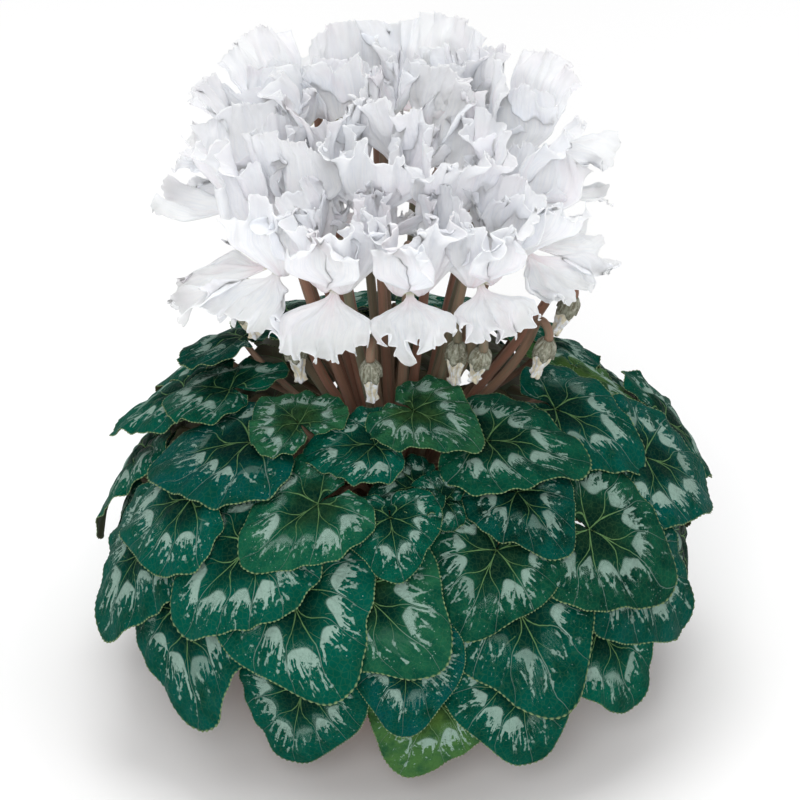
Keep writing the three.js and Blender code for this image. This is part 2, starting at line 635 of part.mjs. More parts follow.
// The stalk of a leaf, from the tuber to just under its joint; sway shifts its middle sideways, in degrees
function petioleRoute(leaf, place, sway) {
  const local = (x, y, z) => new THREE.Vector3(x, y, z).applyMatrix4(place);
  const lean = Math.sin(rad(PETIOLE.approach));
  const depth = BLADE.thickness / 2 + PETIOLE.gap + PETIOLE.radius * lean;
  const end = local(0, 0, -depth);
  const spread = Math.hypot(end.x, end.y);
  const uphill = rad(leaf.heading);
  const back = PETIOLE.reach * lean;
  const under = local(-back * Math.cos(uphill), back * Math.sin(uphill), -depth - PETIOLE.reach);
  const { low, high, lowHeight, highHeight } = PETIOLE_RINGS;
  const ring = THREE.MathUtils.mapLinear(leaf.height, lowHeight, highHeight, low, high);
  const foot = outward(leaf.azimuth + FOOT_SWAY * sway).multiplyScalar(ring);
  const start = foot.setZ(TUBER.centre + PETIOLE.foot);
  const crown = CROWN.share * spread + CROWN.least;
  const shoulder = outward(leaf.azimuth + sway).multiplyScalar(crown).setZ(CROWN.height);
  const bezier = new THREE.CubicBezierCurve3(start, shoulder, under, end);
  return new Route((t) => bezier.getPoint(t));
}

// A leaf comes to lie on those below it: it is raised off the dome until its blade and its stalk are clear of
// them. A leaf of a spray also has to cross one of its spray.
function settle(leaf, placed, stalks) {
  const mates = placed.filter((other) => leaf.spray && other.leaf.spray === leaf.spray);
  const others = placed.filter((other) => !mates.includes(other));
  for (let lift = mates.length ? LIFT.least : 0; lift <= LIFT.most; lift += LIFT.step) {
    const place = leafPlace(leaf, lift);
    const wide = bladeSolid(leaf, BLADE.thickness + BLADE.clear).transform(place.elements);
    if (others.some((other) => overlap(wide, other.blade) > 0)) continue;
    if (stalks.some((stalk) => overlap(wide, stalk) > 0)) continue;
    const blade = bladeSolid(leaf, BLADE.thickness).transform(place.elements);
    if (mates.length && !mates.some((mate) => overlap(blade, mate.blade) > FUSED_VOLUME)) continue;
    for (const sway of SWAYS) {
      const route = petioleRoute(leaf, place, sway);
      const wider = sweep(route, PETIOLE.radius + BLADE.clear / 2, PETIOLE.sides, PETIOLE.steps);
      if (placed.some((other) => overlap(wider, other.blade) > 0)) continue;
      return { leaf, place, blade, stalk: sweep(route, PETIOLE.radius, PETIOLE.sides, PETIOLE.steps) };
    }
  }
  throw new Error(`leaf ${leaf.id} finds no clear place`);
}

// The plant

const flowerPlaces = new Map(FLOWERS.map(({ id, mouth, lean }) => [id, nodding(mouth, lean)]));
const budPlaces = new Map(BUDS.map(({ id, top, lean }) => [id, nodding(top, lean)]));
const stalkRoutes = new Map();
for (const [id, place] of flowerPlaces) stalkRoutes.set(`flower ${id}`, peduncleRoute(place, CUP.height));
for (const [id, place] of budPlaces) stalkRoutes.set(`bud ${id}`, peduncleRoute(place, 0));

const stalks = [...stalkRoutes.values()].map((route) => peduncleSolid(route));
for (const place of flowerPlaces.values()) stalks.push(calyxSolid().transform(place.elements));
for (const place of budPlaces.values()) stalks.push(budSolid().transform(place.elements));

const placed = [];
for (const leaf of LEAVES) {
  const found = settle(leaf, placed, stalks);
  placed.push(found);
  stalks.push(found.stalk);
}

// The finished group

const finish = (color, roughness) => new THREE.MeshStandardMaterial({ color, roughness, metalness: 0 });

const MATERIALS = {
  terracotta: finish(0xa4573a, 0.75),
  soil: finish(0x2b1d14, 0.95),
  stalk: finish(0x7a4436, 0.5),
  leaf: finish(0x1d5a3c, 0.45),
  petal: finish(0xf6f6fa, 0.6),
};

const twoDigits = (n) => String(n).padStart(2, "0");

function named(name, solid, material, place = new THREE.Matrix4()) {
  const mesh = new THREE.Mesh(geometryOf(solid), material);
  mesh.name = name;
  mesh.applyMatrix4(place);
  return mesh;
}

const blooms = new THREE.Group();
for (const flower of FLOWERS) {
  const place = flowerPlaces.get(flower.id);
  blooms.add(named(`flower_${twoDigits(flower.id)}`, flowerSolid(flower), MATERIALS.petal, place));
}

const foliage = new THREE.Group();
const sprays = new Set(placed.map(({ leaf }) => leaf.spray).filter(Boolean));
for (const { leaf, place } of placed.filter((found) => !found.leaf.spray)) {
  foliage.add(named(`leaf_${twoDigits(leaf.id)}`, bladeSolid(leaf, BLADE.thickness), MATERIALS.leaf, place));
}
for (const spray of sprays) {
  const blades = placed.filter((found) => found.leaf.spray === spray).map((found) => found.blade);
  foliage.add(named(`leaves_${spray}`, largest(wasm.Manifold.union(blades)), MATERIALS.leaf));
}

const plant = new THREE.Group();
plant.add(named("pot", potSolid(), MATERIALS.terracotta));
plant.add(named("soil", soilSolid(), MATERIALS.soil));
const grown = largest(wasm.Manifold.union([tuberSolid(), ...stalks]));
plant.add(named("tuber_and_stalks", grown, MATERIALS.stalk));
plant.add(blooms, foliage);

export default plant;
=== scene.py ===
"""The visible side of a potted cyclamen: toothed leaves with a silver ring, fringed white flowers on round
stalks, faded buds, soil and a clay pot, each grown in the place that the plain model gives it."""

import math
from collections import namedtuple
from functools import cache
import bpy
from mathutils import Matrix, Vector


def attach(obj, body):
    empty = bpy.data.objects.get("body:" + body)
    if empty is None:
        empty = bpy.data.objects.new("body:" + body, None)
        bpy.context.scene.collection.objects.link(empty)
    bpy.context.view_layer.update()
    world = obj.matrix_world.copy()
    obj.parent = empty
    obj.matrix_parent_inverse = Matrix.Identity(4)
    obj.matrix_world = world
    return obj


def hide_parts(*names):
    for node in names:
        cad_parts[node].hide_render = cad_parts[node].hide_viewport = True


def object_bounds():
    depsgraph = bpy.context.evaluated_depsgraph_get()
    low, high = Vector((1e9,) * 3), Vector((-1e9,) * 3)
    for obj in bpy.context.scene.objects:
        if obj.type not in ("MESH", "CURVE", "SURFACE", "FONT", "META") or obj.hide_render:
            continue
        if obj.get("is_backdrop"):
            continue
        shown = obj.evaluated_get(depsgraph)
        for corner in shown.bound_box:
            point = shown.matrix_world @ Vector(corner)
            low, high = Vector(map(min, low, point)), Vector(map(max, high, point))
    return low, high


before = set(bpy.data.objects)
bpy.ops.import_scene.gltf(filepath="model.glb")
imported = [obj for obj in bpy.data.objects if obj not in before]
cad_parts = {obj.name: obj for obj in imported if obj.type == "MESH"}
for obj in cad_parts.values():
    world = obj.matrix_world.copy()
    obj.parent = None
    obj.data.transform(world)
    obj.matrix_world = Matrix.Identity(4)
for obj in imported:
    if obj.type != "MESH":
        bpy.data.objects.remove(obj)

from types import SimpleNamespace

import bpy
import numpy as np
from bpy.props import FloatProperty, FloatVectorProperty, PointerProperty
from mathutils import Vector, kdtree, noise

bl_info = {
    "name": "Potted Cyclamen",
    "version": (1, 0, 0),
    "blender": (4, 5, 0),
    "location": "3D View > Sidebar > Cyclamen",
    "description": "Builds a potted cyclamen with fringed white flowers and marbled leaves",
    "category": "Add Mesh",
}

CAD_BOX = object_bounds()

# As in the plain model, sizes are in millimetres and angles in degrees, with +Z up and -Y towards the front
MM = 0.001
UP = np.array([0.0, 0.0, 1.0])

POT = {"height": 122, "foot": 56, "band": 73, "rim": 80, "wall": 3, "floor": 4, "rim_depth": 20}
DRAIN = {"count": 5, "radius": 4.5, "ring": 36, "below": 8, "above": 12}
SOIL = {"level": 104, "mound": 4, "gap": 0.7, "floor_gap": 0.35, "loose": 1.3}
TUBER = {"radius": 31, "half_height": 17, "centre": 107}

# The dome that the leaves' joints lie on, and how the leaves lie on one another like shingles
DOME = {"radius": 180, "up": 140, "down": 120, "centre": 95, "back": 0.92}
SHINGLE = {"pitch": 12, "pitch_vary": 4, "roll": 6, "spray_roll": 1, "roll_vary": 2}

# A leaf's outline, a round body with a tip and a cleft in shares of its length, and how the blade is bent
HEART = {"body": 0.7, "tip": 0.3, "tip_width": 25, "sinus": 0.38, "sinus_width": 38, "slit": 170}
BLADE = {"fold": 0.12, "flatter": 0.6, "wave": 0.05, "bend": 130, "thickness": 0.9}
BLADE_VARY = {"width": 0.08, "fold": 0.05, "phase": 3}

# Lifts off the dome that are tried in finding where a leaf came to lie, by points of its outline
LIFTS = np.arange(-7.5, 45.1, 1.25)
PROBES = 7
FARTHEST = 3

# Leaf stalks: each leaves the tuber on a ring, passes the crown, swayed one way, and comes up under its joint
PETIOLE = {
    "radius": 2.1, "foot": 4, "approach": 20, "reach": 35, "gap": 0.3, "stout": 1.05, "slimmer": 0.2,
}
PETIOLE_RINGS = {"low": 27, "high": 18, "low_height": 90, "high_height": 220}
CROWN = {"height": 185, "share": 0.25, "least": 12}
SWAYS = (0, 10, -10, 20, -20, 30, -30, 42, -42)
FOOT_SWAY = 0.4

# Flower stalks: each climbs beside its flower for a share of its way, then hooks over and down
PEDUNCLE = {
    "radius": 2.7, "foot": 8, "foot_share": 0.17, "side": 13, "rise": 5, "climb_share": 4 / 7,
    "stout": 1.12, "slimmer": 0.2, "swollen": 0.1,
}
CLIMB = {"spread": 0.12, "low": 75, "high": 62, "looks": 40}

# Flowers. Each petal stands at an angle round the cup and flares from its axis. One with no flare of its own
# bends as low as its flower's lowest petals, and one in a low layer keeps closer to its neighbours
CUP = {"mouth": 8, "inside": 5.2, "height": 11, "roof": 2}
CALYX = {"radius": 5.6, "length": 9, "rise": 7}
PETAL = {"length": 66, "width": 64, "thickness": 0.9, "root": 5.6, "rise": 3}
PETAL_LINE = {"turn": 14, "lip": -35, "steps": 16}
PETAL_FORM = {"neck": 0.09, "opens": 0.1, "open": 0.6, "rounding": 0.17, "hollow": 0.1}
RUFFLE = {"height": 4.5, "waves": 2.6}
PETAL_VARY = {
    "angle": 4, "flare": 7, "droop": 0.08, "curl": 12, "twist": 16, "ruffle": 1, "phase": 3, "size": 0.1,
}
PETALS = (
    {"angle": 46, "flare": 20, "curl": 18, "layer": 2},
    {"angle": 116, "flare": None, "curl": 8, "layer": 1},
    {"angle": 180, "flare": 6, "curl": 18, "layer": 0},
    {"angle": 244, "flare": None, "curl": 8, "layer": 1},
    {"angle": 314, "flare": 20, "curl": 18, "layer": 2},
)
HANGING = 2
HANGING_PETAL = {
    "flare": None, "curl": 4, "layer": 1, "length": 0.77, "width": 0.84, "roll": 0.2, "folds": 1.15,
}
BESIDE_HANGING = {"flare": 6, "curl": 10, "layer": 0, "nearer": 33}
DROOP_SHARE = 0.94

# The least cosine of the angle of a petal that the stalk parts from the one beside it
STALK_SIDE = 0.5

# The cell that a flower keeps to: its middle, how softly petals meet its sides, which neighbours and
# stalks bound it, and how far petals lap past the middle between two flowers. A pressed petal keeps its
# foot in place and is flattened, the more the further it was pressed
LAP = 12
CELL = {"heart": 32, "soft": 8, "gap": 1.15, "layer": 0.7, "reach": 140, "stalk_reach": 70, "passes": 8}
LOOKOUTS = (-10, 20, 45)
PRESSED = {"foot": 0.12, "from": 3, "to": 28, "flatter": 0.8}
TURN_TO_FRONT = 25
BUD = {"radius": 5.6, "length": 27, "shoulder": 5, "cap": 11, "cap_gap": 0.9, "top": 3}

# Leaves: id, azimuth and height of the joint on the dome, heading of the tip, length, and the spray of leaves
# that it belongs to
Leaf = namedtuple("Leaf", "number azimuth height heading length spray")
LEAF_TABLE = (
    (35, 86, 100, -6, 68, "a"),
    (36, 113, 96, 6, 68, "a"),
    (37, 140, 98, -8, 68, "a"),
    (38, 168, 92, 8, 68, "b"),
    (39, 194, 96, -4, 68, "b"),
    (40, 222, 94, 5, 68, "c"),
    (41, 249, 98, 4, 68, "c"),
    (42, 276, 100, -6, 66, "c"),
    (20, 7, 88, -20, 54, ""),
    (22, -17, 92, -10, 56, ""),
    (19, 22, 101, 6, 60, ""),
    (18, 42, 108, 17, 62, ""),
    (21, 2, 118, -3, 48, ""),
    (23, -43, 122, 18, 74, ""),
    (17, 51, 136, 34, 68, ""),
    (43, 100, 142, 8, 66, "d"),
    (44, 126, 142, -8, 68, "d"),
    (45, 152, 138, 6, 68, "d"),
    (46, 180, 142, -6, 68, "e"),
    (47, 206, 138, 6, 68, "e"),
    (48, 232, 142, -4, 68, "e"),
    (49, 260, 142, 4, 66, "e"),
    (24, -59, 142, -6, 70, ""),
    (14, 23, 144, 14, 76, ""),
    (12, -21, 147, 38, 70, ""),
    (33, 97, 155, 20, 60, ""),
    (11, -7, 152, 50, 66, ""),
    (9, 44, 161, 36, 66, ""),
    (13, -30, 163, -34, 68, ""),
    (10, 22, 166, -38, 56, ""),
    (25, -50, 170, -64, 66, ""),
    (16, 71, 169, 36, 66, ""),
    (50, 116, 178, 8, 64, "f"),
    (51, 144, 180, -10, 64, "f"),
    (52, 176, 180, 8, 64, "g"),
    (53, 206, 180, -6, 64, "g"),
    (54, 236, 180, 4, 62, "h"),
    (55, 262, 184, -8, 60, "h"),
    (7, -1, 183, 8, 40, "i"),
    (31, 6, 196, -80, 30, "i"),
    (30, 12, 189, -100, 28, "i"),
    (6, -18, 186, -44, 56, ""),
    (8, 31, 187, 12, 48, ""),
    (34, 122, 196, 20, 52, "j"),
    (32, 99, 198, 8, 54, "j"),
    (1, -45, 200, -60, 72, ""),
    (15, 61, 205, 14, 62, ""),
    (5, 29, 207, 60, 62, ""),
    (3, -6, 209, -92, 44, ""),
    (56, 140, 204, 4, 58, "k"),
    (57, 180, 206, -8, 58, "k"),
    (58, 218, 204, 10, 58, "k"),
    (26, -76, 206, -56, 58, ""),
    (29, -102, 209, -46, 56, ""),
    (2, -33, 211, -118, 46, ""),
    (4, 7, 218, 47, 47, ""),
)
LEAVES = [Leaf(*row) for row in LEAF_TABLE]

# Leaves that have yellowed, above 0, or turned blue, below 0
TINTS = {
    20: 0.55, 32: 0.5, 2: 0.25, 4: 0.25, 11: 0.14, 6: 0.12, 9: 0.06, 10: 0.05, 5: 0.04,
    21: -1.0, 1: -0.9, 16: -0.8, 25: -0.6, 15: -0.6, 17: -0.6, 23: -0.6, 24: -0.5, 8: -0.5, 13: -0.45,
}

# Flowers: id, mouth, how far the crown leans outwards, how far its lowest petals bend from its axis, and in
# the front row, where one petal hangs over the stalks, which of the two beside it stand up
FLOWERS = (
    (1, (-63, -60, 306), 10, 100, (3,)),
    (2, (-32, -80, 305), 12, 104, (1, 3)),
    (3, (8, -84, 305), 12, 104, (1, 3)),
    (4, (46, -72, 305), 12, 102, (1, 3)),
    (5, (70, -36, 307), 12, 98, (1,)),
    (6, (-76, -16, 320), 12, 92, ()),
    (7, (-50, -34, 328), 6, 96, ()),
    (8, (-12, -40, 330), 6, 98, ()),
    (9, (28, -36, 328), 6, 96, ()),
    (10, (65, 2, 324), 10, 92, ()),
    (11, (-74, 34, 329), 10, 80, ()),
    (12, (-34, 8, 343), 4, 92, ()),
    (13, (6, 4, 344), 2, 94, ()),
    (14, (40, 28, 343), 4, 90, ()),
    (15, (-56, 70, 337), 6, 64, ()),
    (16, (-16, 52, 345), 2, 60, ()),
    (17, (18, 70, 342), 2, 60, ()),
    (18, (66, 60, 328), 10, 80, ()),
)

# Buds: id, top and lean
BUDS = (
    (1, (-91, -24, 262), 26),
    (2, (-59, -38, 243), 14),
    (3, (-14, -74, 248), 14),
    (4, (36, -62, 254), 10),
    (5, (50, -78, 258), 30),
    (6, (88, -54, 252), 22),
    (7, (103, -22, 264), 24),
)

# The nets that fine sheets are made of: rows from the root outwards, and points across the first and the last
BLADE_NET = {"rows": 13, "crowding": 1.35, "first": 20, "last": 221, "spread": 2.3}
PETAL_NET = {"rows": 20, "crowding": 1.2, "first": 5, "last": 137, "spread": 1.2}

# Veins of a leaf: degrees between them at its edge, where every second one leaves its neighbour, and how far
# a vein bends towards the tip and strays, in radians at the edge
VEIN = {"spacing": 34, "fork": (0.1, 0.6), "bend": 0.42, "stray": 0.2}

# The small forms of sheets. CRUMPLE and the first two of QUILT are wavelengths in millimetres, except the
# tooth, in points of a petal's edge. The rest are strengths, powers and shares of the way out. Ripples are
# given as strength, waves over half a petal or per radian of a leaf, drift from lip to edge, and the power
# of the share of the way out that they grow with
CRUMPLE = {"swell": 24, "crease": 11, "wander": 30, "lobe": 7, "lip": 20, "tooth": 6}
FRILL = {"onset": 2.4, "usual": 1.1, "vary": 0.7, "wander": 0.2}
FOLD = {"swell": 1.6, "crease": 0.8, "first": 0.05, "full": 0.5}
LIP = {"first": 0.7, "onset": 1.5, "usual": 0.5, "vary": 1.3, "least": -0.5, "most": 1.3, "inwards": 0.45}
FRINGE = {"least": 0.3, "vary": 0.7, "most": 0.8}
QUILT = {"stray": 22, "dimple": 13, "puff": 0.6, "first": 0.03, "full": 0.3, "flatter": 0.5, "dimples": 0.6}
TOOTH = {"least": 0.45, "vary": 0.55, "painted": 0.98}
THINNER = {"petal": 0.7, "petal_from": 0.5, "blade": 0.6, "blade_from": 0.7}
PETAL_FRILLS = ((0.7, 10, 1.6, 0), (0.5, 19, -2.2, 1), (0.3, 37, 0, 3))
PETAL_FOLDS = ((0.6, 7, 0, 0), (0.4, 14, 1, 0))
LEAF_WAVES = ((0.6, 9, 0, 0), (0.4, 17, 0, 0))
SEPALS = {"count": 5, "rib": 0.07, "fibres": 20, "fibre": 0.04, "tip": 0.25, "parted": 0.45, "thickness": 0.7}
FADED = {"neck": 0.9, "waist": 0.42, "skirt": 0.18, "ribs": 5, "twist": 4.5, "crumple": 0.4, "shift": 1.8}

# The studio: lamps as name, place, width and watts, and a camera that looks down on the plant's front
SOFT_LIGHTS = (
    ("key_light", (-0.8, -1.2, 2.2), 1.4, 5),
    ("fill_light", (1.7, -1.3, 1.5), 1.6, 3),
    ("top_light", (0.1, 0.4, 3.0), 2.0, 30),
    ("front_light", (-0.2, -2.3, 1.45), 1.0, 22),
)
LAMPS_AIM = (0, 0, 0.22)
CAMERA = {"target": (0.003, 0.0, 0.187), "distance": 2.4, "elevation": 28, "lens": 180, "sensor": 36}
FLOOR = {"half": 8, "steps": 8}

# How finely round pieces are cut: sides round the axis, and steps along it
SIDES = {
    "pot": 96, "soil": 96, "drain": 24, "tuber": 48, "petiole": 10, "peduncle": 14, "calyx": 40, "faded": 48,
    "cup": 30,
}
STEPS = {"soil": 26, "tuber": 22, "petiole": 21, "peduncle": 43, "calyx": 8, "faded": 28}


def wobble(k, salt):
    """A repeatable draw between -1 and 1 for piece k."""
    x = math.sin(k * 12.9898 + salt * 78.233) * 43758.5453
    return 2 * (x - math.floor(x)) - 1


def drawn(k, salt):
    """A repeatable draw between 0 and 1 for piece k."""
    return 0.5 + 0.5 * wobble(k, salt)


def columns(*values):
    """An array with these values, or lists of values, as its columns."""
    return np.stack(np.broadcast_arrays(*values), axis=1)


def smoothstep(x, low, high):
    t = np.clip((x - low) / (high - low), 0, 1)
    return t * t * (3 - 2 * t)


def unit(v):
    return v / np.linalg.norm(v)


def turned_about(v, axis, angle):
    """The vector v turned about a unit axis by an angle in radians."""
    across = np.cross(axis, v)
    return v * math.cos(angle) + across * math.sin(angle) + axis * np.dot(axis, v) * (1 - math.cos(angle))


def outward(azimuth):
    a = math.radians(azimuth)
    return np.array([math.sin(a), -math.cos(a), 0.0])


def rough(x, y, wavelength, salt):
    """Smooth noise, about -1 to 1, over places on a sheet in millimetres; salt gives each sheet its own."""
    return np.array([noise.noise((a, b, 10 * salt)) for a, b in zip(x / wavelength, y / wavelength)])


def ripples(table, angle, share, phases):
    """The sum of a table's ripples, each with a phase of its own."""
    return sum(
        strength * share**power * np.sin(waves * angle + phase + drift * share)
        for (strength, waves, drift, power), phase in zip(table, phases)
    )


def bezier(a, b, c, d, t):
    t = np.asarray(t, float)[:, None]
    return a * (1 - t) ** 3 + 3 * b * t * (1 - t) ** 2 + 3 * c * t**2 * (1 - t) + d * t**3


class Axes:
    """A place with its own axes."""

    def __init__(self, origin, x, y, z):
        self.origin = origin
        self.turn = np.array([x, y, z])

    def out(self, points):
        return np.asarray(points, float) @ self.turn + self.origin

    def back(self, points):
        return (np.asarray(points, float) - self.origin) @ self.turn.T


class Gathered:
    """Points in millimetres with marks and tones, and faces with materials, gathered for one mesh."""

    def __init__(self):
        self.parts = []
        self.count = 0

    def add(self, points, faces, marks=(0, 0, 0), tone=(0, 0, 0), material=0):
        n = len(points)
        marks, tones = (np.broadcast_to(np.asarray(values, float), (n, 3)) for values in (marks, tone))
        materials = np.broadcast_to(material, len(faces))
        self.parts.append((np.asarray(points, float), marks, tones, np.array(faces) + self.count, materials))
        self.count += n

    def make(self, name, materials, slot, *nodes, crease=None):
        """Makes the mesh object, which stands for the nodes given and rides with them."""
        points, marks, tones, faces, chosen = (np.concatenate(part) for part in zip(*self.parts))
        mesh = bpy.data.meshes.new(name)
        mesh.from_pydata((points * MM).tolist(), [], faces.tolist())
        for label, values in (("marks", marks), ("tone", tones)):
            layer = mesh.attributes.new(label, "FLOAT_VECTOR", "POINT")
            layer.data.foreach_set("vector", values.astype(np.float32).ravel())
        for material in materials:
            mesh.materials.append(material)
        mesh.polygons.foreach_set("material_index", chosen.astype(np.int32))
        mesh.update()
        mesh.shade_smooth()
        if crease is not None:
            mesh.set_sharp_from_angle(angle=math.radians(crease))
        piece = bpy.data.objects.new(name, mesh)
        bpy.context.scene.collection.objects.link(piece)
        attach(piece, "root")
        if nodes:
            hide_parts(*nodes)
        return piece


def zipped(first, second):
    """Triangles between two rows of points that run the same way, whatever their counts."""
    faces = []
    i = j = 0
    while i < len(first) - 1 or j < len(second) - 1:
        first_is_next = (i + 1) * (len(second) - 1) <= (j + 1) * (len(first) - 1)
        if i < len(first) - 1 and (first_is_next or j == len(second) - 1):
            faces.append((first[i], first[i + 1], second[j]))
            i += 1
        else:
            faces.append((first[i], second[j + 1], second[j]))
            j += 1
    return faces


def rim_of(faces):
    """The edges that only one face has, in that face's direction."""
    edges = {}
    for a, b, c in faces:
        for edge in ((a, b), (b, c), (c, a)):
            if edges.pop((edge[1], edge[0]), None) is None:
                edges[edge] = True
    return list(edges)


def normals_of(points, faces):
    corners = points[faces]
    flat = np.cross(corners[:, 1] - corners[:, 0], corners[:, 2] - corners[:, 0])
    normals = np.zeros_like(points)
    for k in range(3):
        np.add.at(normals, faces[:, k], flat)
    return normals / np.maximum(np.linalg.norm(normals, axis=1), 1e-12)[:, None]


def add_sheet(gathered, points, net, thickness, marks, tone, over=0, under=0):
    """Adds a thin sheet with two sides and an edge. Its underside can have a material of its own."""
    faces, rim = net
    n = len(points)
    offset = normals_of(points, faces) * np.broadcast_to(thickness, n)[:, None] / 2
    edge = np.array([face for a, b in rim for face in ((b, a, a + n), (b, a + n, b + n))])
    everything = np.concatenate([faces, faces[:, ::-1] + n, edge])
    material = np.repeat([over, under, over], [len(faces), len(faces), len(edge)])
    both = np.concatenate([points + offset, points - offset])
    tones = np.tile(np.broadcast_to(tone, (n, 3)), (2, 1))
    gathered.add(both, everything, np.concatenate([marks, marks]), tones, material)


def between_rings(rings, sides):
    """The corners of the squares between rings of points: ring, its point and the next, and those above."""
    for k in range(rings - 1):
        for i in range(sides):
            a = k * sides + i
            b = k * sides + (i + 1) % sides
            yield k, a, b, b + sides, a + sides


def add_tube(gathered, line, radii, sides, tone=(0, 0, 0)):
    """Adds a round tube along a line of points, closed at both ends. Marks: turn, way along, radius."""
    line = np.asarray(line, float)
    tangents = np.gradient(line, axis=0)
    tangents /= np.linalg.norm(tangents, axis=1)[:, None]
    side = unit(np.cross(tangents[0], [0.3, 1.0, 0.2]))
    points = []
    marks = []
    for k, (centre, tangent, radius) in enumerate(zip(line, tangents, radii)):
        side = unit(side - tangent * np.dot(side, tangent))
        other = np.cross(tangent, side)
        for i in range(sides):
            angle = 2 * math.pi * i / sides
            points.append(centre + radius * (math.cos(angle) * side + math.sin(angle) * other))
            marks.append((i / sides, k / (len(line) - 1), radius))
    faces = []
    for _, a, b, c, d in between_rings(len(line), sides):
        faces += [(a, b, c), (a, c, d)]
    for ring, tip, flip in ((0, line[0], True), ((len(line) - 1) * sides, line[-1], False)):
        points.append(tip)
        marks.append((0, 1 if ring else 0, 0))
        for i in range(sides):
            a, b = ring + i, ring + (i + 1) % sides
            faces.append((b, a, len(points) - 1) if flip else (a, b, len(points) - 1))
    gathered.add(points, faces, marks, tone)


def lathe(profile, sides, shape=None):
    """Points and faces of a profile of [radius, height] pairs turned about Z, open or closed at the axis.
    shape(angle, k) gives a factor on the radius and a shift of the height at profile point k."""
    points = []
    for k, (radius, height) in enumerate(profile):
        for i in range(sides):
            angle = 2 * math.pi * i / sides
            wide, lift = shape(angle, k) if shape else (1, 0)
            points.append((radius * wide * math.cos(angle), radius * wide * math.sin(angle), height + lift))
    faces = []
    for k, a, b, c, d in between_rings(len(profile), sides):
        if profile[k][0] > 0:
            faces.append((a, b, c) if profile[k + 1][0] > 0 else (a, b, d))
        if profile[k + 1][0] > 0:
            faces.append((a, c, d))
    return np.array(points), faces


# Where everything grows


def nodding(position, lean):
    """A flower's own axes: X towards its stalk, on the plant's side, and Z along its crown of petals."""
    origin = np.array(position, float)
    azimuth = math.atan2(origin[0], -origin[1])
    away = outward(math.degrees(azimuth) - TURN_TO_FRONT * math.sin(azimuth))
    axis = UP * math.cos(math.radians(lean)) + away * math.sin(math.radians(lean))
    side = unit(-away + axis * np.dot(away, axis))
    return Axes(origin, side, np.cross(axis, side), axis)


def peduncle_points(axes, seat, t):
    """The stalk of a nodding flower or bud: up beside it, over in a half circle, and down onto its seat."""
    top = seat + PEDUNCLE["rise"]
    shoulder = axes.out([PEDUNCLE["side"], 0, top])
    spread = math.hypot(shoulder[0], shoulder[1])
    away = unit(shoulder * [1, 1, 0])
    start = away * PEDUNCLE["foot_share"] * spread + UP * (TUBER["centre"] + PEDUNCLE["foot"])
    low = start + away * spread * CLIMB["spread"] + UP * CLIMB["low"]
    high = axes.out([PEDUNCLE["side"], 0, top - CLIMB["high"]])
    share = PEDUNCLE["climb_share"]
    climb = bezier(start, low, high, shoulder, np.clip(t / share, 0, 1))
    angle = math.pi * (t - share) / (1 - share)
    half = PEDUNCLE["side"] / 2
    hook = axes.out(columns(half + half * np.cos(angle), 0, top + half * np.sin(angle)))
    return np.where((t <= share)[:, None], climb, hook)


def leaf_axes(leaf, lift):
    """Where a leaf lies: X towards its tip, Z out of its upper face, raised by the lift off the dome."""
    number, azimuth, height, heading, _, spray = leaf
    shrink = 1 + (DOME["back"] - 1) * (1 - math.cos(math.radians(azimuth))) / 2
    reach = DOME["radius"] * shrink
    vertical = DOME["up"] * shrink if height >= DOME["centre"] else DOME["down"]
    level = (height - DOME["centre"]) / vertical
    joint = outward(azimuth) * reach * math.sqrt(1 - level * level) + UP * height
    normal = unit(np.array([joint[0] / reach, joint[1] / reach, level * reach / vertical]))
    downhill = unit(normal * normal[2] - UP)
    right = np.cross(normal, downhill)
    joint = joint + normal * lift
    pitch = SHINGLE["pitch"] + SHINGLE["pitch_vary"] * wobble(number, 1)
    downhill = turned_about(downhill, right, -math.radians(pitch))
    roll = (SHINGLE["spray_roll"] if spray else SHINGLE["roll"]) + SHINGLE["roll_vary"] * wobble(number, 2)
    right = turned_about(right, downhill, math.radians(roll))
    way = math.radians(heading)
    tip = downhill * math.cos(way) + right * math.sin(way)
    face = np.cross(downhill, right)
    return Axes(joint, tip, np.cross(face, tip), face)


def outline(angle):
    """The leaf's outline as a distance from the joint, in shares of its length, angles in degrees."""
    a = np.abs(angle)
    tip = HEART["tip"] * np.exp(-((a / HEART["tip_width"]) ** 2))
    sinus = HEART["sinus"] * np.exp(-(((180 - a) / HEART["sinus_width"]) ** 2))
    return HEART["body"] + tip - sinus


def blade_points(leaf, angle, share):
    """Points of a blade: angle from the tip in degrees, share of the way from joint to edge."""
    number, length = leaf.number, leaf.length
    turn = np.radians(angle)
    reach = length * outline(angle) * share
    beside = reach * np.sin(turn) * (1 + BLADE_VARY["width"] * wobble(number, 5))
    k = reach / length
    steepness = BLADE["fold"] + BLADE_VARY["fold"] * wobble(number, 3)
    fold = steepness * np.abs(beside) * (1 - BLADE["flatter"] * k)
    phase = BLADE_VARY["phase"] * wobble(number, 4)
    wave = BLADE["wave"] * length * k**3 * np.sin(3 * turn + phase)
    rise = fold + wave - reach**2 / (2 * BLADE["bend"])
    return columns(reach * np.cos(turn), beside, rise)


def tree_of(node):
    """The corners of a node of the plain model, in millimetres, ready to be searched."""
    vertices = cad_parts[node].data.vertices
    tree = kdtree.KDTree(len(vertices))
    for i, vertex in enumerate(vertices):
        tree.insert(vertex.co / MM, i)
    tree.balance()
    return tree


def misfit(tree, points):
    return sum(min(tree.find(point)[2], FARTHEST) for point in points)


def node_of(leaf):
    return f"leaves_{leaf.spray}" if leaf.spray else f"leaf_{leaf.number:02d}"


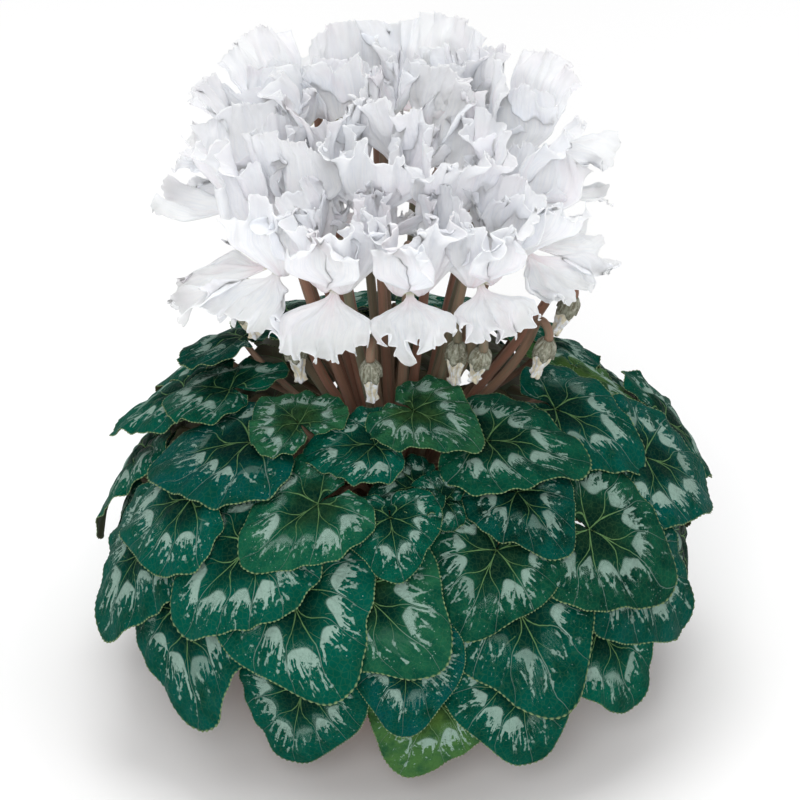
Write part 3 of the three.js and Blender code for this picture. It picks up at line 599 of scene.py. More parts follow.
@cache
def settled(leaf):
    """Where a leaf came to lie: the lift at which its outline meets the corners of its node."""
    tree = tree_of(node_of(leaf))
    probes = blade_points(leaf, np.linspace(-HEART["slit"], HEART["slit"], PROBES), 1)
    lift = min(LIFTS, key=lambda candidate: misfit(tree, leaf_axes(leaf, candidate).out(probes)))
    return leaf_axes(leaf, lift)


def petiole_points(leaf, axes, sway, t):
    """The stalk of a leaf, from the tuber to just under its joint; sway shifts its middle sideways."""
    lean = math.sin(math.radians(PETIOLE["approach"]))
    depth = BLADE["thickness"] / 2 + PETIOLE["gap"] + PETIOLE["radius"] * lean
    end = axes.out([0, 0, -depth])
    uphill = math.radians(leaf.heading)
    back = PETIOLE["reach"] * lean
    under = axes.out([-back * math.cos(uphill), back * math.sin(uphill), -depth - PETIOLE["reach"]])
    rings = PETIOLE_RINGS
    way_up = (leaf.height - rings["low_height"]) / (rings["high_height"] - rings["low_height"])
    ring = rings["low"] + (rings["high"] - rings["low"]) * way_up
    start = outward(leaf.azimuth + FOOT_SWAY * sway) * ring + UP * (TUBER["centre"] + PETIOLE["foot"])
    crown = CROWN["share"] * math.hypot(end[0], end[1]) + CROWN["least"]
    shoulder = outward(leaf.azimuth + sway) * crown + UP * CROWN["height"]
    return bezier(start, shoulder, under, end, t)


def flower_axes():
    return {number: nodding(mouth, lean) for number, mouth, lean, _, _ in FLOWERS}


def bud_axes():
    return {number: nodding(top, lean) for number, top, lean in BUDS}


def stalk_lines(t):
    """Points along every flower and bud stalk, by what it carries."""
    lines = {("flower", k): peduncle_points(axes, CUP["height"], t) for k, axes in flower_axes().items()}
    lines.update({("bud", k): peduncle_points(axes, 0, t) for k, axes in bud_axes().items()})
    return lines


def cell_of(number, places, lines):
    """Flat limits that keep a flower in a cell of its own, in its own axes: points and facings."""
    heart = places[number].out([0, 0, CELL["heart"]])
    limits = []
    for other, axes in places.items():
        far = axes.out([0, 0, CELL["heart"]])
        gap = np.linalg.norm(far - heart)
        if other != number and gap <= CELL["reach"]:
            facing = (far - heart) / gap
            limits.append(((heart + far) / 2 + LAP * facing, facing))
    for carried, line in lines.items():
        if carried == ("flower", number):
            continue
        for height in LOOKOUTS:
            start = places[number].out([0, 0, height])
            distances = np.linalg.norm(line - start, axis=1)
            nearest = line[distances.argmin()]
            if distances.min() <= CELL["stalk_reach"]:
                facing = unit(nearest - start)
                limits.append((nearest - facing * PEDUNCLE["radius"], facing))
    turn = places[number].turn
    return [(places[number].back(at), turn @ facing) for at, facing in limits]


def pressed(points, limits, gap):
    """Presses points back from the limits, softly, as petals crowd against their neighbours."""
    for step in range(CELL["passes"]):
        for at, facing in limits:
            room = (at - points) @ facing
            soft = gap + CELL["soft"] * np.exp(np.minimum((room - gap) / CELL["soft"], 1) - 1)
            kept = soft if step == 0 else gap
            near = room < gap + CELL["soft"]
            points += np.where(near, np.minimum(0, room - kept), 0)[:, None] * facing
    return points


def petal_line(along, flare, curl):
    """The line along the middle of a petal: distance from the crown's axis, height and slope."""
    start = math.radians(PETAL_LINE["lip"])
    end = math.radians(90 - flare)
    turn = PETAL_LINE["turn"]
    r = np.full_like(along, PETAL["root"])
    w = np.full_like(along, PETAL["rise"])
    step = along * PETAL["length"] / PETAL_LINE["steps"]
    slope = np.full_like(along, start)
    for i in range(PETAL_LINE["steps"]):
        run = (i + 0.5) * step
        late = np.maximum(0, (run - turn) / (PETAL["length"] - turn))
        slope = start + (end - start) * smoothstep(run, 0, turn) - math.radians(curl) * late
        r = r + np.cos(slope) * step
        w = w + np.sin(slope) * step
    return r, w, slope


def petals_of(number, droop, stands):
    """How each of a flower's petals stands."""
    for i, usual in enumerate(PETALS):
        hanging = HANGING_PETAL if stands and i == HANGING else {}
        standing = BESIDE_HANGING if i in stands else {}
        petal = {"length": 1, "width": 1, "nearer": 0, "roll": 1, "folds": 1, **usual, **hanging, **standing}
        nearer = math.copysign(petal["nearer"], 180 - petal["angle"])
        key = number * 7 + i
        angle, bend, curl, twist, ruffle, phase, size = (wobble(key, salt) for salt in range(1, 8))
        flare = petal["flare"]
        if flare is None:
            flare = droop * (DROOP_SHARE + PETAL_VARY["droop"] * bend)
        else:
            flare += PETAL_VARY["flare"] * bend
        yield {
            **petal,
            "key": key,
            "angle": petal["angle"] + nearer + PETAL_VARY["angle"] * angle,
            "flare": flare,
            "curl": petal["curl"] + PETAL_VARY["curl"] * curl,
            "twist": PETAL_VARY["twist"] * twist,
            "ruffle": RUFFLE["height"] + PETAL_VARY["ruffle"] * ruffle,
            "phase": PETAL_VARY["phase"] * phase,
            "size": petal["width"] * (1 + PETAL_VARY["size"] * size),
            "gap": CELL["gap"] + CELL["layer"] * petal["layer"],
            "parted": math.cos(math.radians(petal["angle"])) > STALK_SIDE,
        }


def petal_points(petal, s, u):
    """Points of a petal in its flower's axes: s from lip to edge, u from side to side."""
    along = petal["length"] * s * (1 - PETAL_FORM["rounding"] * u * u * s)
    r, w, slope = petal_line(along, petal["flare"], petal["curl"])
    open_share = smoothstep(s, PETAL_FORM["opens"], PETAL_FORM["open"])
    neck = PETAL_FORM["neck"]
    half = PETAL["width"] / 2 * (neck + (1 - neck) * open_share) * petal["size"]
    twist = math.radians(petal["twist"]) * s
    lateral = u * half * np.cos(twist)
    ruffle = petal["ruffle"] * s**3 * np.sin(math.pi * RUFFLE["waves"] * u + petal["phase"])
    proud = u * half * np.sin(twist) + ruffle - PETAL_FORM["hollow"] * half * u * u
    radius = r + np.sin(slope) * proud
    turn = math.radians(petal["angle"])
    return columns(
        radius * math.cos(turn) - lateral * math.sin(turn),
        radius * math.sin(turn) + lateral * math.cos(turn),
        w - np.cos(slope) * proud,
    )


# Nets


def rows_of(net):
    """Share of the way out, and number of points, for each row of a net, closer together towards the edge."""
    for k in range(net["rows"]):
        share = 1 - (1 - k / (net["rows"] - 1)) ** net["crowding"]
        yield share, round(net["first"] + (net["last"] - net["first"]) * share ** net["spread"])


@cache
def net_of(kind):
    """Share of the way out, place from side to side, place in the edge's row, nearest point of the row
    before, faces and rim of a net of rows."""
    shares, sides, inward, faces = [], [], [], []
    before = None
    for share, count in rows_of(BLADE_NET if kind == "blade" else PETAL_NET):
        start = len(shares)
        row = range(start, start + count)
        shares += [share] * count
        sides += list(np.linspace(-1, 1, count))
        if before:
            inward += [before[round(i * (len(before) - 1) / (count - 1))] for i in range(count)]
            faces += zipped(before, row)
        else:
            inward += list(row)
        before = row
    at_edge = np.zeros(len(shares), int)
    at_edge[before.start :] = range(len(before))
    return np.array(shares), np.array(sides), at_edge, np.array(inward), (np.array(faces), rim_of(faces))


def between_veins(turns, share):
    """0 on a vein of a leaf and 1 midway between two."""
    aside = np.mod(np.abs(turns), 2)
    fork = 0.02 + 0.98 * smoothstep(share, *VEIN["fork"])
    cell = np.minimum(aside / fork, 1) + np.maximum((aside - fork) / (2 - fork), 0)
    return 1 - np.abs(2 * np.mod(cell, 1) - 1)


# Materials


class Value:
    """What a material's node gives out. Arithmetic with it adds nodes."""

    def __init__(self, finish, socket):
        self.finish = finish
        self.socket = socket

    def __add__(self, other):
        return self.finish.math("ADD", self, other)

    def __sub__(self, other):
        return self.finish.math("SUBTRACT", self, other)

    def __rsub__(self, other):
        return self.finish.math("SUBTRACT", other, self)

    def __mul__(self, other):
        return self.finish.math("MULTIPLY", self, other)

    def __truediv__(self, other):
        return self.finish.math("DIVIDE", self, other)

    __radd__ = __add__
    __rmul__ = __mul__


class Finish:
    """A material, with short ways to write its nodes."""

    def __init__(self, name):
        self.material = bpy.data.materials.new(name)
        self.material.use_nodes = True
        self.tree = self.material.node_tree
        self.shader = self.tree.nodes["Principled BSDF"]

    def feed(self, socket, value):
        if isinstance(value, Value):
            self.tree.links.new(value.socket, socket)
        elif socket.type == "RGBA":
            socket.default_value = (*value[:3], 1)
        else:
            socket.default_value = value

    def node(self, kind, inputs, **settings):
        node = self.tree.nodes.new("ShaderNode" + kind)
        for key, value in settings.items():
            setattr(node, key, value)
        for key, value in inputs.items():
            self.feed(node.inputs[key], value)
        return node

    def give(self, output, kind, inputs, **settings):
        """One output of a new node."""
        return Value(self, self.node(kind, inputs, **settings).outputs[output])

    def surface(self, colour, roughness, specular, **others):
        """Sets the shader's own sockets."""
        values = {"Base_Color": colour, "Roughness": roughness, "Specular_IOR_Level": specular, **others}
        for key, value in values.items():
            self.feed(self.shader.inputs[key.replace("_", " ")], value)
        return self.material

    def place(self):
        return self.give("Object", "TexCoord", {})

    def parts(self, vector):
        return [Value(self, output) for output in self.node("SeparateXYZ", {0: vector}).outputs]

    def attribute(self, name):
        """The three numbers that every point carries under this name."""
        return self.parts(self.give("Vector", "Attribute", {}, attribute_name=name))

    def join(self, x, y, z):
        return self.give(0, "CombineXYZ", {0: x, 1: y, 2: z})

    def math(self, operation, *values):
        return self.give(0, "Math", dict(enumerate(values)), operation=operation)

    def least(self, value, *others):
        for other in others:
            value = self.math("MINIMUM", value, other)
        return value

    def most(self, value, *others):
        for other in others:
            value = self.math("MAXIMUM", value, other)
        return value

    def above(self, value, low, high):
        """0 below low, 1 above high, smooth between them."""
        inputs = {"Value": value, "From Min": low, "From Max": high}
        return self.give(0, "MapRange", inputs, interpolation_type="SMOOTHSTEP")

    def below(self, value, low, high):
        return 1 - self.above(value, low, high)

    def noise(self, vector, scale, detail=2):
        return self.give(0, "TexNoise", {"Vector": vector, "Scale": scale, "Detail": detail})

    def cells(self, vector, scale, feature="F1"):
        return self.give("Distance", "TexVoronoi", {"Vector": vector, "Scale": scale}, feature=feature)

    def chance(self, value):
        return self.give("Value", "TexWhiteNoise", {"W": value}, noise_dimensions="1D")

    def mix(self, share, first, second):
        return self.give(2, "Mix", {0: share, 6: first, 7: second}, data_type="RGBA")

    def coats(self, colour, *coats):
        """A colour under coats of others, each with the share that shows."""
        for share, over in coats:
            colour = self.mix(share, colour, over)
        return colour

    def bump(self, height, depth, strength):
        """Raises the surface by up to this depth in millimetres."""
        inputs = {"Strength": strength, "Distance": depth * MM, "Height": height}
        self.feed(self.shader.inputs["Normal"], self.give("Normal", "Bump", inputs))


def leaf_pattern(f):
    """The forking veins and the silver ring of a leaf on its own flat shape, drawn anew for each leaf.
    Widths are in shares of the leaf's length, and ways out in shares of the way from joint to edge."""
    x, y, share = f.attribute("marks")
    draw, tint, turns = f.attribute("tone")
    place = f.join(x, y, 40 * draw)
    reach = f.math("SQRT", x * x + y * y)
    pairs = 0.5 * f.math("ABSOLUTE", turns)
    aside = 2 * f.math("FRACT", pairs)
    fork = 0.02 + 0.98 * f.above(share, *VEIN["fork"])
    beyond = aside - fork
    cell = f.least(aside / fork, 1) + f.most(beyond / (2 - fork), 0)
    across = f.math("FRACT", cell)
    between = 2 * f.math("PINGPONG", cell, 0.5)
    number = 2 * f.math("FLOOR", 0.5 * turns) + f.math("FLOOR", cell)
    sector = f.chance(91 * draw + number)

    def away(turned):
        """From turns to a width."""
        return math.radians(VEIN["spacing"]) * reach * f.math("ABSOLUTE", turned)

    def twig(from_side, start, slant):
        """How far off the twig is that leaves a vein at this way out."""
        gone = share - start
        there = f.above(gone, 0, 0.03)
        return away(from_side - slant * f.above(gone, -0.15, 0.5)) + 9 * (1 - there)

    def line(distance, width, taper):
        return f.below(distance / (width - taper * share), 0.5, 1.2)

    main = away(f.least(aside, 2 - aside))
    side = away(beyond)
    twigs = f.least(
        twig(across, 0.34 + 0.16 * sector, 0.62),
        twig(1 - across, 0.5 - 0.14 * sector, 0.55),
        twig(across, 0.58 + 0.1 * sector, 0.36),
        twig(1 - across, 0.7 - 0.08 * sector, 0.3),
    )
    veins = f.most(
        line(main, 0.009, 0.005),
        0.85 * line(side, 0.0072, 0.004),
        0.55 * f.below(share, 0.5, 0.72) * line(twigs, 0.0052, 0.002),
    )

    drift = f.noise(place, 3) - 0.5
    of_leaf = f.chance(57 * draw) - 0.5
    arch = 0.16 * f.math("POWER", 1 - between, 2)
    inner = 0.42 + arch + 0.07 * sector + 0.3 * drift + 0.1 * of_leaf
    comb = f.noise(f.join(9 * turns, 2 * share, 50 * draw), 1, 3)
    ragged = f.noise(place, 30, 4)
    fingers = 0.13 * f.above(comb, 0.5, 0.66) + 0.22 * (ragged - 0.5)
    outer = 0.535 + fingers + 0.12 * sector + 0.4 * drift + 0.1 * of_leaf
    ring = (
        f.above(share - inner, -0.012, 0.02)
        * f.below(share - outer, -0.012, 0.02)
        * f.above(between * reach, 0.025, 0.055)
        * f.below(f.math("ABSOLUTE", turns), 3.6, 4.4)
        * f.above(sector, 0.06, 0.2)
    )
    frayed = (
        f.below(f.least(main, side, twigs) / (0.009 + 0.024 * f.above(ragged, 0.38, 0.7)), 0.5, 1)
        * f.above(share - inner, 0.06, 0.12)
        * f.below(share - outer, 0.13, 0.2)
        * f.above(f.noise(place, 11), 0.47, 0.52)
    )
    flecks = (
        f.below(f.cells(place, 26), 0.08, 0.15)
        * f.above(share, 0.66, 0.74)
        * f.below(share, 0.93, 0.96)
        * f.above(f.noise(place, 9), 0.45, 0.58)
    )
    grain = f.noise(place, 60, 4)
    silver = f.most(ring, 0.85 * f.most(flecks, frayed)) * (0.7 + 0.45 * grain + 0.35 * of_leaf)
    shown = {"place": place, "share": share, "tint": tint, "veins": veins, "silver": silver}
    return SimpleNamespace(**shown, between=between, grain=grain, of_leaf=of_leaf)


def marbled_leaf(look):
    """The upper side of a leaf: dark green, its own dark centre deepened with painted shade round the joint,
    with pale veins, a broken silver ring and light teeth.
    """
    f = Finish("marbled_leaf")
    leaf = leaf_pattern(f)
    yellow = f.most(0, leaf.tint)
    clouds = f.noise(leaf.place, 5, 3)
    whitened = f.mix(f.above(leaf.share, 0.4, 0.62), look.leaf_vein, look.leaf_silver)
    # The deep green under all the coats is the leaf's own, made darker as painted shade
    colour = f.coats(
        look.leaf_dark,
        (clouds + 0.5 * leaf.of_leaf, look.leaf_green),
        (f.most(0, -1 * leaf.tint) * f.above(clouds, 0.2, 0.75), look.leaf_blue),
        # Painted shade: towards the joint the deep green covers most of the leaf, as its own dark centre and
        # as shade of the hollow there
        (0.8 * f.below(leaf.share, 0.25, 0.62), look.leaf_dark),
        (yellow * f.above(clouds + 0.3 * yellow, 0.3, 0.8), look.leaf_yellow),
        (0.06 * f.below(f.cells(leaf.place, 22, "DISTANCE_TO_EDGE"), 0.01, 0.09), look.leaf_vein),
        (look.silver_share * leaf.silver, look.leaf_silver),
        (leaf.veins * (0.9 - 0.6 * leaf.share), whitened),
        (0.8 * f.above(leaf.share, 0.975, 0.992), look.leaf_rim),
    )
    puffed = f.above(f.cells(leaf.place, 15, "DISTANCE_TO_EDGE"), 0, 0.4)
    f.bump(-0.9 * leaf.veins + 0.5 * puffed + 0.6 * leaf.between + 0.2 * leaf.grain, 1, 0.9)
    return f.surface(colour, 0.42 + 0.22 * leaf.grain, 0.02)


def leaf_back(look):
    """The underside of a leaf: paler, with raised veins and a red tinge."""
    f = Finish("leaf_back")
    leaf = leaf_pattern(f)
    reddened = f.noise(leaf.place, 4)
    colour = f.coats(look.leaf_under, (reddened, look.leaf_under_red), (0.6 * leaf.veins, look.leaf_vein))
    f.bump(leaf.veins + 0.3 * leaf.grain, 0.8, 0.8)
    return f.surface(colour, 0.5 + 0.2 * leaf.grain, 0.3)


def petal_silk(look):
    """White petals with fine veins that fan out from a greenish throat, pink towards it as their own blush
    and as painted shade deep in the flower.
    """
    f = Finish("petal_silk")
    share, across, _ = f.attribute("marks")
    draw, shade, _ = f.attribute("tone")
    place = f.join(across, share, 30 * draw)
    streaks = f.noise(f.join(18 * across, 3.5 * share, 60 * draw), 1, 4)
    fine = f.noise(f.join(30 * across, 3 * share, draw), 1)
    # Painted shade: the pink towards the throat, deep in the flower, is partly the petals' own blush and
    # partly shade; the noise adds patches of blush at random
    flush_and_shade = f.below(share, 0.08, 0.42) + 0.5 * f.above(f.noise(place, 1.7), 0.45, 0.7)
    colour = f.coats(
        look.petal_white,
        (0.3 * f.above(streaks, 0.45, 0.75), look.petal_shade),
        (0.4 * f.above(f.noise(place, 3, 4), 0.45, 0.75), look.petal_shade),
        (0.5 * f.above(fine, 0.48, 0.6) * f.below(share, 0.6, 0.95), look.petal_shade),
        (flush_and_shade * (0.2 + 0.5 * shade), look.petal_flush_and_shade),
        (0.85 * f.below(share, 0.03, 0.14), look.petal_throat),
    )
    f.bump(0.35 * streaks + 0.2 * fine + 0.7 * f.noise(place, 14, 3), 0.9, 0.5)
    glow = {"Subsurface_Weight": 0.9, "Subsurface_Radius": (0.96, 0.97, 1.0), "Subsurface_Scale": 0.005}
    return f.surface(colour, 0.5 + 0.2 * fine, 0.2, **glow)


def stalk_skin(look):
    """Stalks, calyxes and tuber: brown-red skin that turns olive, with fine lengthwise streaks."""
    f = Finish("stalk_skin")
    turn, along, _ = f.attribute("marks")
    draw, olive, dark = f.attribute("tone")
    round_x = f.math("COSINE", 2 * math.pi * turn)
    round_y = f.math("SINE", 2 * math.pi * turn)
    skin = f.join(2.5 * round_x, 2.5 * round_y, 5 * along + 70 * draw)
    streaks = f.noise(skin, 1.6, 5)
    fine = f.noise(skin, 7, 4)
    colour = f.coats(
        look.stalk_brown,
        (f.least(1, olive + 0.6 * f.above(streaks, 0.45, 0.75)), look.stalk_olive),
        (dark * (0.4 + 0.6 * streaks), look.stalk_dark),
        (0.35 * f.above(fine, 0.5, 0.75), look.stalk_bloom),
    )
    f.bump(streaks + 0.5 * fine, 0.35, 0.7)
    return f.surface(colour, 0.4 + 0.3 * fine, 0.35)


def bud_scale(look):
    """The ribbed caps of buds and faded blooms: grey-brown with pale fibres."""
    f = Finish("bud_scale")
    turn, along, _ = f.attribute("marks")
    draw, _, _ = f.attribute("tone")
    fibres = f.noise(f.join(26 * turn, 9 * along, 20 * draw), 1, 4)
    mottle = f.noise(f.place(), 420, 3)
    colour = f.coats(
        look.calyx_brown,
        (f.above(fibres, 0.35, 0.65), look.calyx_grey),
        (0.5 * f.above(mottle, 0.5, 0.7), look.calyx_pale),
    )
    f.bump(fibres + 0.6 * mottle, 0.6, 0.8)
    return f.surface(colour, 0.55 + 0.25 * mottle, 0.2)


def faded_petal(look):
    """Faded blooms: crumpled and cream, browned in places."""
    f = Finish("faded_petal")
    turn, along, draw = f.attribute("marks")
    folds = f.noise(f.join(12 * turn, 4 * along, draw), 1, 4)
    spots = f.noise(f.place(), 300, 3)
    colour = f.coats(
        look.faded_cream,
        (f.above(folds, 0.4, 0.62), look.petal_white),
        (0.35 * f.above(spots, 0.5, 0.7), look.faded_brown),
    )
    f.bump(folds + 0.5 * spots, 0.9, 0.9)
    return f.surface(colour, 0.5 + 0.25 * spots, 0.2)


def fired_clay(look):
    """Plain clay, with turning lines and a pale bloom of lime near the foot."""
    f = Finish("fired_clay")
    place = f.place()
    x, y, z = f.parts(place)
    clouds = f.noise(place, 22, 5)
    grain = f.noise(place, 900, 3)
    lines = f.noise(f.join(3 * x, 3 * y, 420 * z), 1)
    colour = f.coats(
        look.clay,
        (clouds, look.clay_dark),
        (0.5 * f.above(f.noise(place, 34, 6), 0.5, 0.68) * f.below(z, 0.02, 0.11), look.clay_lime),
        (0.25 * f.above(grain, 0.55, 0.75), look.clay_dark),
    )
    f.bump(0.5 * lines + 0.5 * grain, 0.3, 0.6)
    return f.surface(colour, 0.7 + 0.2 * clouds, 0.25)


def potting_soil(look):
    """Crumbly dark soil with paler crumbs."""
    f = Finish("potting_soil")
    place = f.place()
    grain = f.noise(place, 600, 5)
    colour = f.coats(
        look.soil_dark,
        (f.above(grain, 0.35, 0.7), look.soil_brown),
        (0.6 * f.below(f.cells(place, 170), 0.05, 0.16), look.soil_crumb),
    )
    f.bump(grain - f.cells(place, 260), 1.5, 1)
    return f.surface(colour, 0.8 + 0.15 * grain, 0.15)


def studio_floor(look):
    f = Finish("studio_floor")
    clouds = f.noise(f.place(), 0.6)
    colour = f.mix(clouds, look.floor, [0.985 * c for c in look.floor])
    return f.surface(colour, 0.85 + 0.05 * clouds, 0.1)


# Pieces


def build_pot(look):
    """The clay pot, with a rolled rim and drain holes."""
    top, floor, wall = POT["height"], POT["floor"], POT["wall"]
    foot, band, rim = POT["foot"], POT["band"], POT["rim"]
    shoulder = top - POT["rim_depth"]
    inside = [
        (0, floor), (foot - wall - 3, floor), (foot - wall - 0.6, floor + 0.8),
        (foot - wall + 0.6, floor + 4), (band - wall, shoulder), (rim - wall - 0.3, top - 3),
        (rim - wall + 0.2, top - 0.6), (rim - wall + 1, top),
    ]
    outside = [
        (rim - 1.2, top), (rim - 0.3, top - 0.5), (rim, top - 1.6), (rim - 0.3, top - 6),
        (rim - 0.9, shoulder + 3), (rim - 1.3, shoulder + 0.7), (rim - 2.2, shoulder),
        (band + 1.2, shoulder), (band + 0.2, shoulder - 0.6), (band - 0.3, shoulder - 2),
        (foot + 1, 5), (foot, 1.4), (foot - 0.5, 0.3), (foot - 1.6, 0), (0, 0),
    ]
    gathered = Gathered()
    gathered.add(*lathe((inside + outside)[::-1], SIDES["pot"]))
    pot = gathered.make("clay_pot", [fired_clay(look)], "terracotta", "pot", crease=50)
    drills = Gathered()
    radii = [DRAIN["radius"]] * 3
    for k in range(DRAIN["count"]):
        turn = 2 * math.pi * k / DRAIN["count"]
        at = np.array([DRAIN["ring"] * math.cos(turn), DRAIN["ring"] * math.sin(turn), 0])
        add_tube(drills, [at - UP * DRAIN["below"], at, at + UP * DRAIN["above"]], radii, SIDES["drain"])
    drill = drills.make("pot_drill", [], "terracotta")
    cut = pot.modifiers.new("drain holes", "BOOLEAN")
    cut.object = drill
    cut.solver = "EXACT"
    whole = pot.data
    drilled = pot.evaluated_get(bpy.context.evaluated_depsgraph_get())
    pot.data = bpy.data.meshes.new_from_object(drilled)
    pot.modifiers.clear()
    bpy.data.meshes.remove(whole)
    bpy.data.objects.remove(drill)


def build_soil(look):
    """The potting soil, heaped towards the tuber."""
    shoulder = POT["height"] - POT["rim_depth"]
    slope = (POT["band"] - POT["foot"]) / (shoulder - POT["floor"])
    foot = POT["floor"] + SOIL["floor_gap"]
    edge = SOIL["level"] - SOIL["mound"]
    inside = [POT["foot"] - POT["wall"] + slope * (h - POT["floor"]) - SOIL["gap"] for h in (foot, edge)]
    profile = [(0, foot), (inside[0], foot)]
    for k in range(STEPS["soil"]):
        share = 1 - k / STEPS["soil"]
        profile.append((inside[1] * share, edge + 2 * SOIL["mound"] * (1 - share**2)))
    profile.append((0, edge + 2 * SOIL["mound"]))

    def crumbly(angle, k):
        radius = profile[k][0]
        at = Vector((radius * math.cos(angle), radius * math.sin(angle), 0))
        loose = noise.noise(at * 0.14) + 0.5 * noise.noise(at * 0.45)
        return 1, (SOIL["loose"] * loose if 2 < k < len(profile) - 1 else 0)

    gathered = Gathered()
    gathered.add(*lathe(profile, SIDES["soil"], crumbly))
    gathered.make("potting_soil", [potting_soil(look)], "soil", "soil")


def add_tuber(gathered):
    """Adds the flat, corky tuber that all the stalks grow from."""
    profile = [(0, TUBER["centre"] - TUBER["half_height"])]
    for k in range(1, STEPS["tuber"]):
        turn = math.pi * k / STEPS["tuber"]
        height = TUBER["centre"] - TUBER["half_height"] * math.cos(turn)
        profile.append((TUBER["radius"] * math.sin(turn), height))
    profile.append((0, TUBER["centre"] + TUBER["half_height"]))

    def corky(angle, k):
        at = Vector((math.cos(angle), math.sin(angle), 0.25 * k))
        return 1 + 0.04 * noise.noise(at * 2.2) + 0.02 * noise.noise(at * 7), 0

    points, faces = lathe(profile, SIDES["tuber"], corky)
    gathered.add(points, faces, columns(points[:, 0] / 60, points[:, 2] / 40, 0), (0.3, 0.2, 0.8))


def add_petioles(gathered):
    """Adds every leaf's stalk along the way that its solid takes."""
    tree = tree_of("tuber_and_stalks")
    probes = np.array([1 / 3, 2 / 3])
    along = np.linspace(0, 1, STEPS["petiole"] + 1)
    for leaf in LEAVES:
        axes = settled(leaf)

        def strays(sway):
            total = 0
            for centre in petiole_points(leaf, axes, sway, probes):
                corners = [hit[0] for hit in tree.find_n(centre, 3)]
                total += (sum(corners, Vector()) / len(corners) - Vector(centre)).length
            return total

        line = petiole_points(leaf, axes, min(SWAYS, key=strays), along)
        radii = PETIOLE["radius"] * (PETIOLE["stout"] - PETIOLE["slimmer"] * along)
        add_tube(gathered, line, radii, SIDES["petiole"], (drawn(leaf.number, 21), 0.3, 0.1))


def add_peduncles(gathered):
    """Adds the flower and bud stalks, which hook over at the top."""
    along = np.linspace(0, 1, STEPS["peduncle"] + 1)
    for k, ((carried, number), line) in enumerate(stalk_lines(along).items()):
        taper = PEDUNCLE["stout"] - PEDUNCLE["slimmer"] * along
        radii = PEDUNCLE["radius"] * (taper + PEDUNCLE["swollen"] * smoothstep(along, 0.9, 1))
        tone = (drawn(k, 32), 0.75 * drawn(k, 31) ** 2, 0.25 if carried == "flower" else 0.1)
        add_tube(gathered, line, radii, SIDES["peduncle"], tone)


def add_calyx(gathered, axes, top, radius, length, tone, material=0):
    """Adds a ribbed cap of sepals below the end of a stalk, with its mouth downwards."""
    neck = PEDUNCLE["radius"]
    shares = np.linspace(0, 1, STEPS["calyx"] + 1)
    wide = 0.95 * neck + (radius - neck) * np.sin(math.pi / 2 * np.minimum(1, 1.5 * shares))

    def sepals(angle, k):
        rib = math.cos(SEPALS["count"] * angle)
        ribs = SEPALS["rib"] * rib * shares[k] + SEPALS["fibre"] * math.cos(SEPALS["fibres"] * angle)
        return 1 + ribs, -SEPALS["tip"] * length * max(0, shares[k] - SEPALS["parted"]) * (1 + rib)

    outer, faces = lathe(list(zip(wide, top - length * shares)), SIDES["calyx"], sepals)
    faces = np.array(faces)[:, ::-1]
    middle = outer - normals_of(outer, faces) * SEPALS["thickness"] / 2
    turn = np.arctan2(outer[:, 1], outer[:, 0]) / (2 * math.pi)
    marks = columns(turn, outer[:, 2] / 40, 0)
    net = (faces, rim_of(faces))
    add_sheet(gathered, axes.out(middle), net, SEPALS["thickness"], marks, tone, material, material)


def build_stalks(look):
    """The tuber with every stalk and calyx, which grew as one."""
    gathered = Gathered()
    add_tuber(gathered)
    add_petioles(gathered)
    add_peduncles(gathered)
    for axes in flower_axes().values():
        top = CUP["height"] + CALYX["rise"]
        add_calyx(gathered, axes, top, CALYX["radius"], CALYX["length"], (0.5, 0.6, 0.2))
    for number, axes in bud_axes().items():
        cap = (BUD["shoulder"], BUD["radius"] + BUD["cap_gap"], BUD["cap"])
        add_calyx(gathered, axes, *cap, (drawn(number, 41), 0, 0), material=1)
    gathered.make("tuber_with_stalks", [stalk_skin(look), bud_scale(look)], "stalk", "tuber_and_stalks")


def build_faded_blooms(look):
    """The corollas of the buds and faded blooms, twisted and crumpled, one piece each."""
    finish = faded_petal(look)
    rows = STEPS["faded"]
    shares = np.arange(rows + 1) / rows
    for number, axes in bud_axes().items():
        flared = drawn(number, 51)
        slimmer = FADED["waist"] * smoothstep(shares, 0.15, 0.8)
        wide = FADED["neck"] - slimmer + FADED["skirt"] * flared * smoothstep(shares, 0.7, 0.95)
        radii = BUD["radius"] * wide * (1 - smoothstep(shares, 0.93, 1.04))
        depths = -BUD["top"] - (BUD["length"] - BUD["top"]) * shares
        profile = [(0, depths[0]), *zip(np.maximum(radii, 0.4), depths), (0, depths[-1] - 0.2)]

        def twisted(angle, k):
            share = (rows + 1 - k) / rows
            folds = math.cos(FADED["ribs"] * angle + FADED["twist"] * share + number)
            at = Vector((2.2 * math.cos(angle), 2.2 * math.sin(angle), 5 * share + 10 * number))
            crumple = noise.noise(at) + 0.6 * noise.noise(at * 2.7)
            wide = 1 + (0.1 + 0.16 * share) * folds + FADED["crumple"] * share * crumple
            return wide, FADED["shift"] * share * crumple

        gathered = Gathered()
        points, faces = lathe(profile[::-1], SIDES["faded"], twisted)
        turn = np.arctan2(points[:, 1], points[:, 0]) / (2 * math.pi)
        gathered.add(axes.out(points), faces, columns(turn, -points[:, 2] / BUD["length"], 0.37 * number))
        gathered.make(f"faded_bloom_{number:02d}", [finish], "petal", "tuber_and_stalks")


def add_cup(gathered, axes):
    """Adds a flower's cup, which opens downwards, with a small thickened lip."""
    mouth, inside, top = CUP["mouth"], CUP["inside"], CUP["height"]
    roof = top - CUP["roof"]
    profile = [
        (0, roof), (3, roof - 0.5), (inside - 0.6, top * 0.45), (inside, 0.6), (inside + 0.5, 0),
        (mouth - 0.6, -0.2), (mouth, 0.5), (mouth - 0.1, top * 0.45), (mouth - 1.1, top * 0.8),
        (mouth / 2, top - 0.2), (0, top),
    ]
    points, faces = lathe(profile, SIDES["cup"], lambda angle, k: (1 + 0.04 * math.cos(5 * angle), 0))
    gathered.add(axes.out(points), faces, columns(0.02, points[:, 1] / 30, points[:, 2]), (0.5, 0.6, 0))


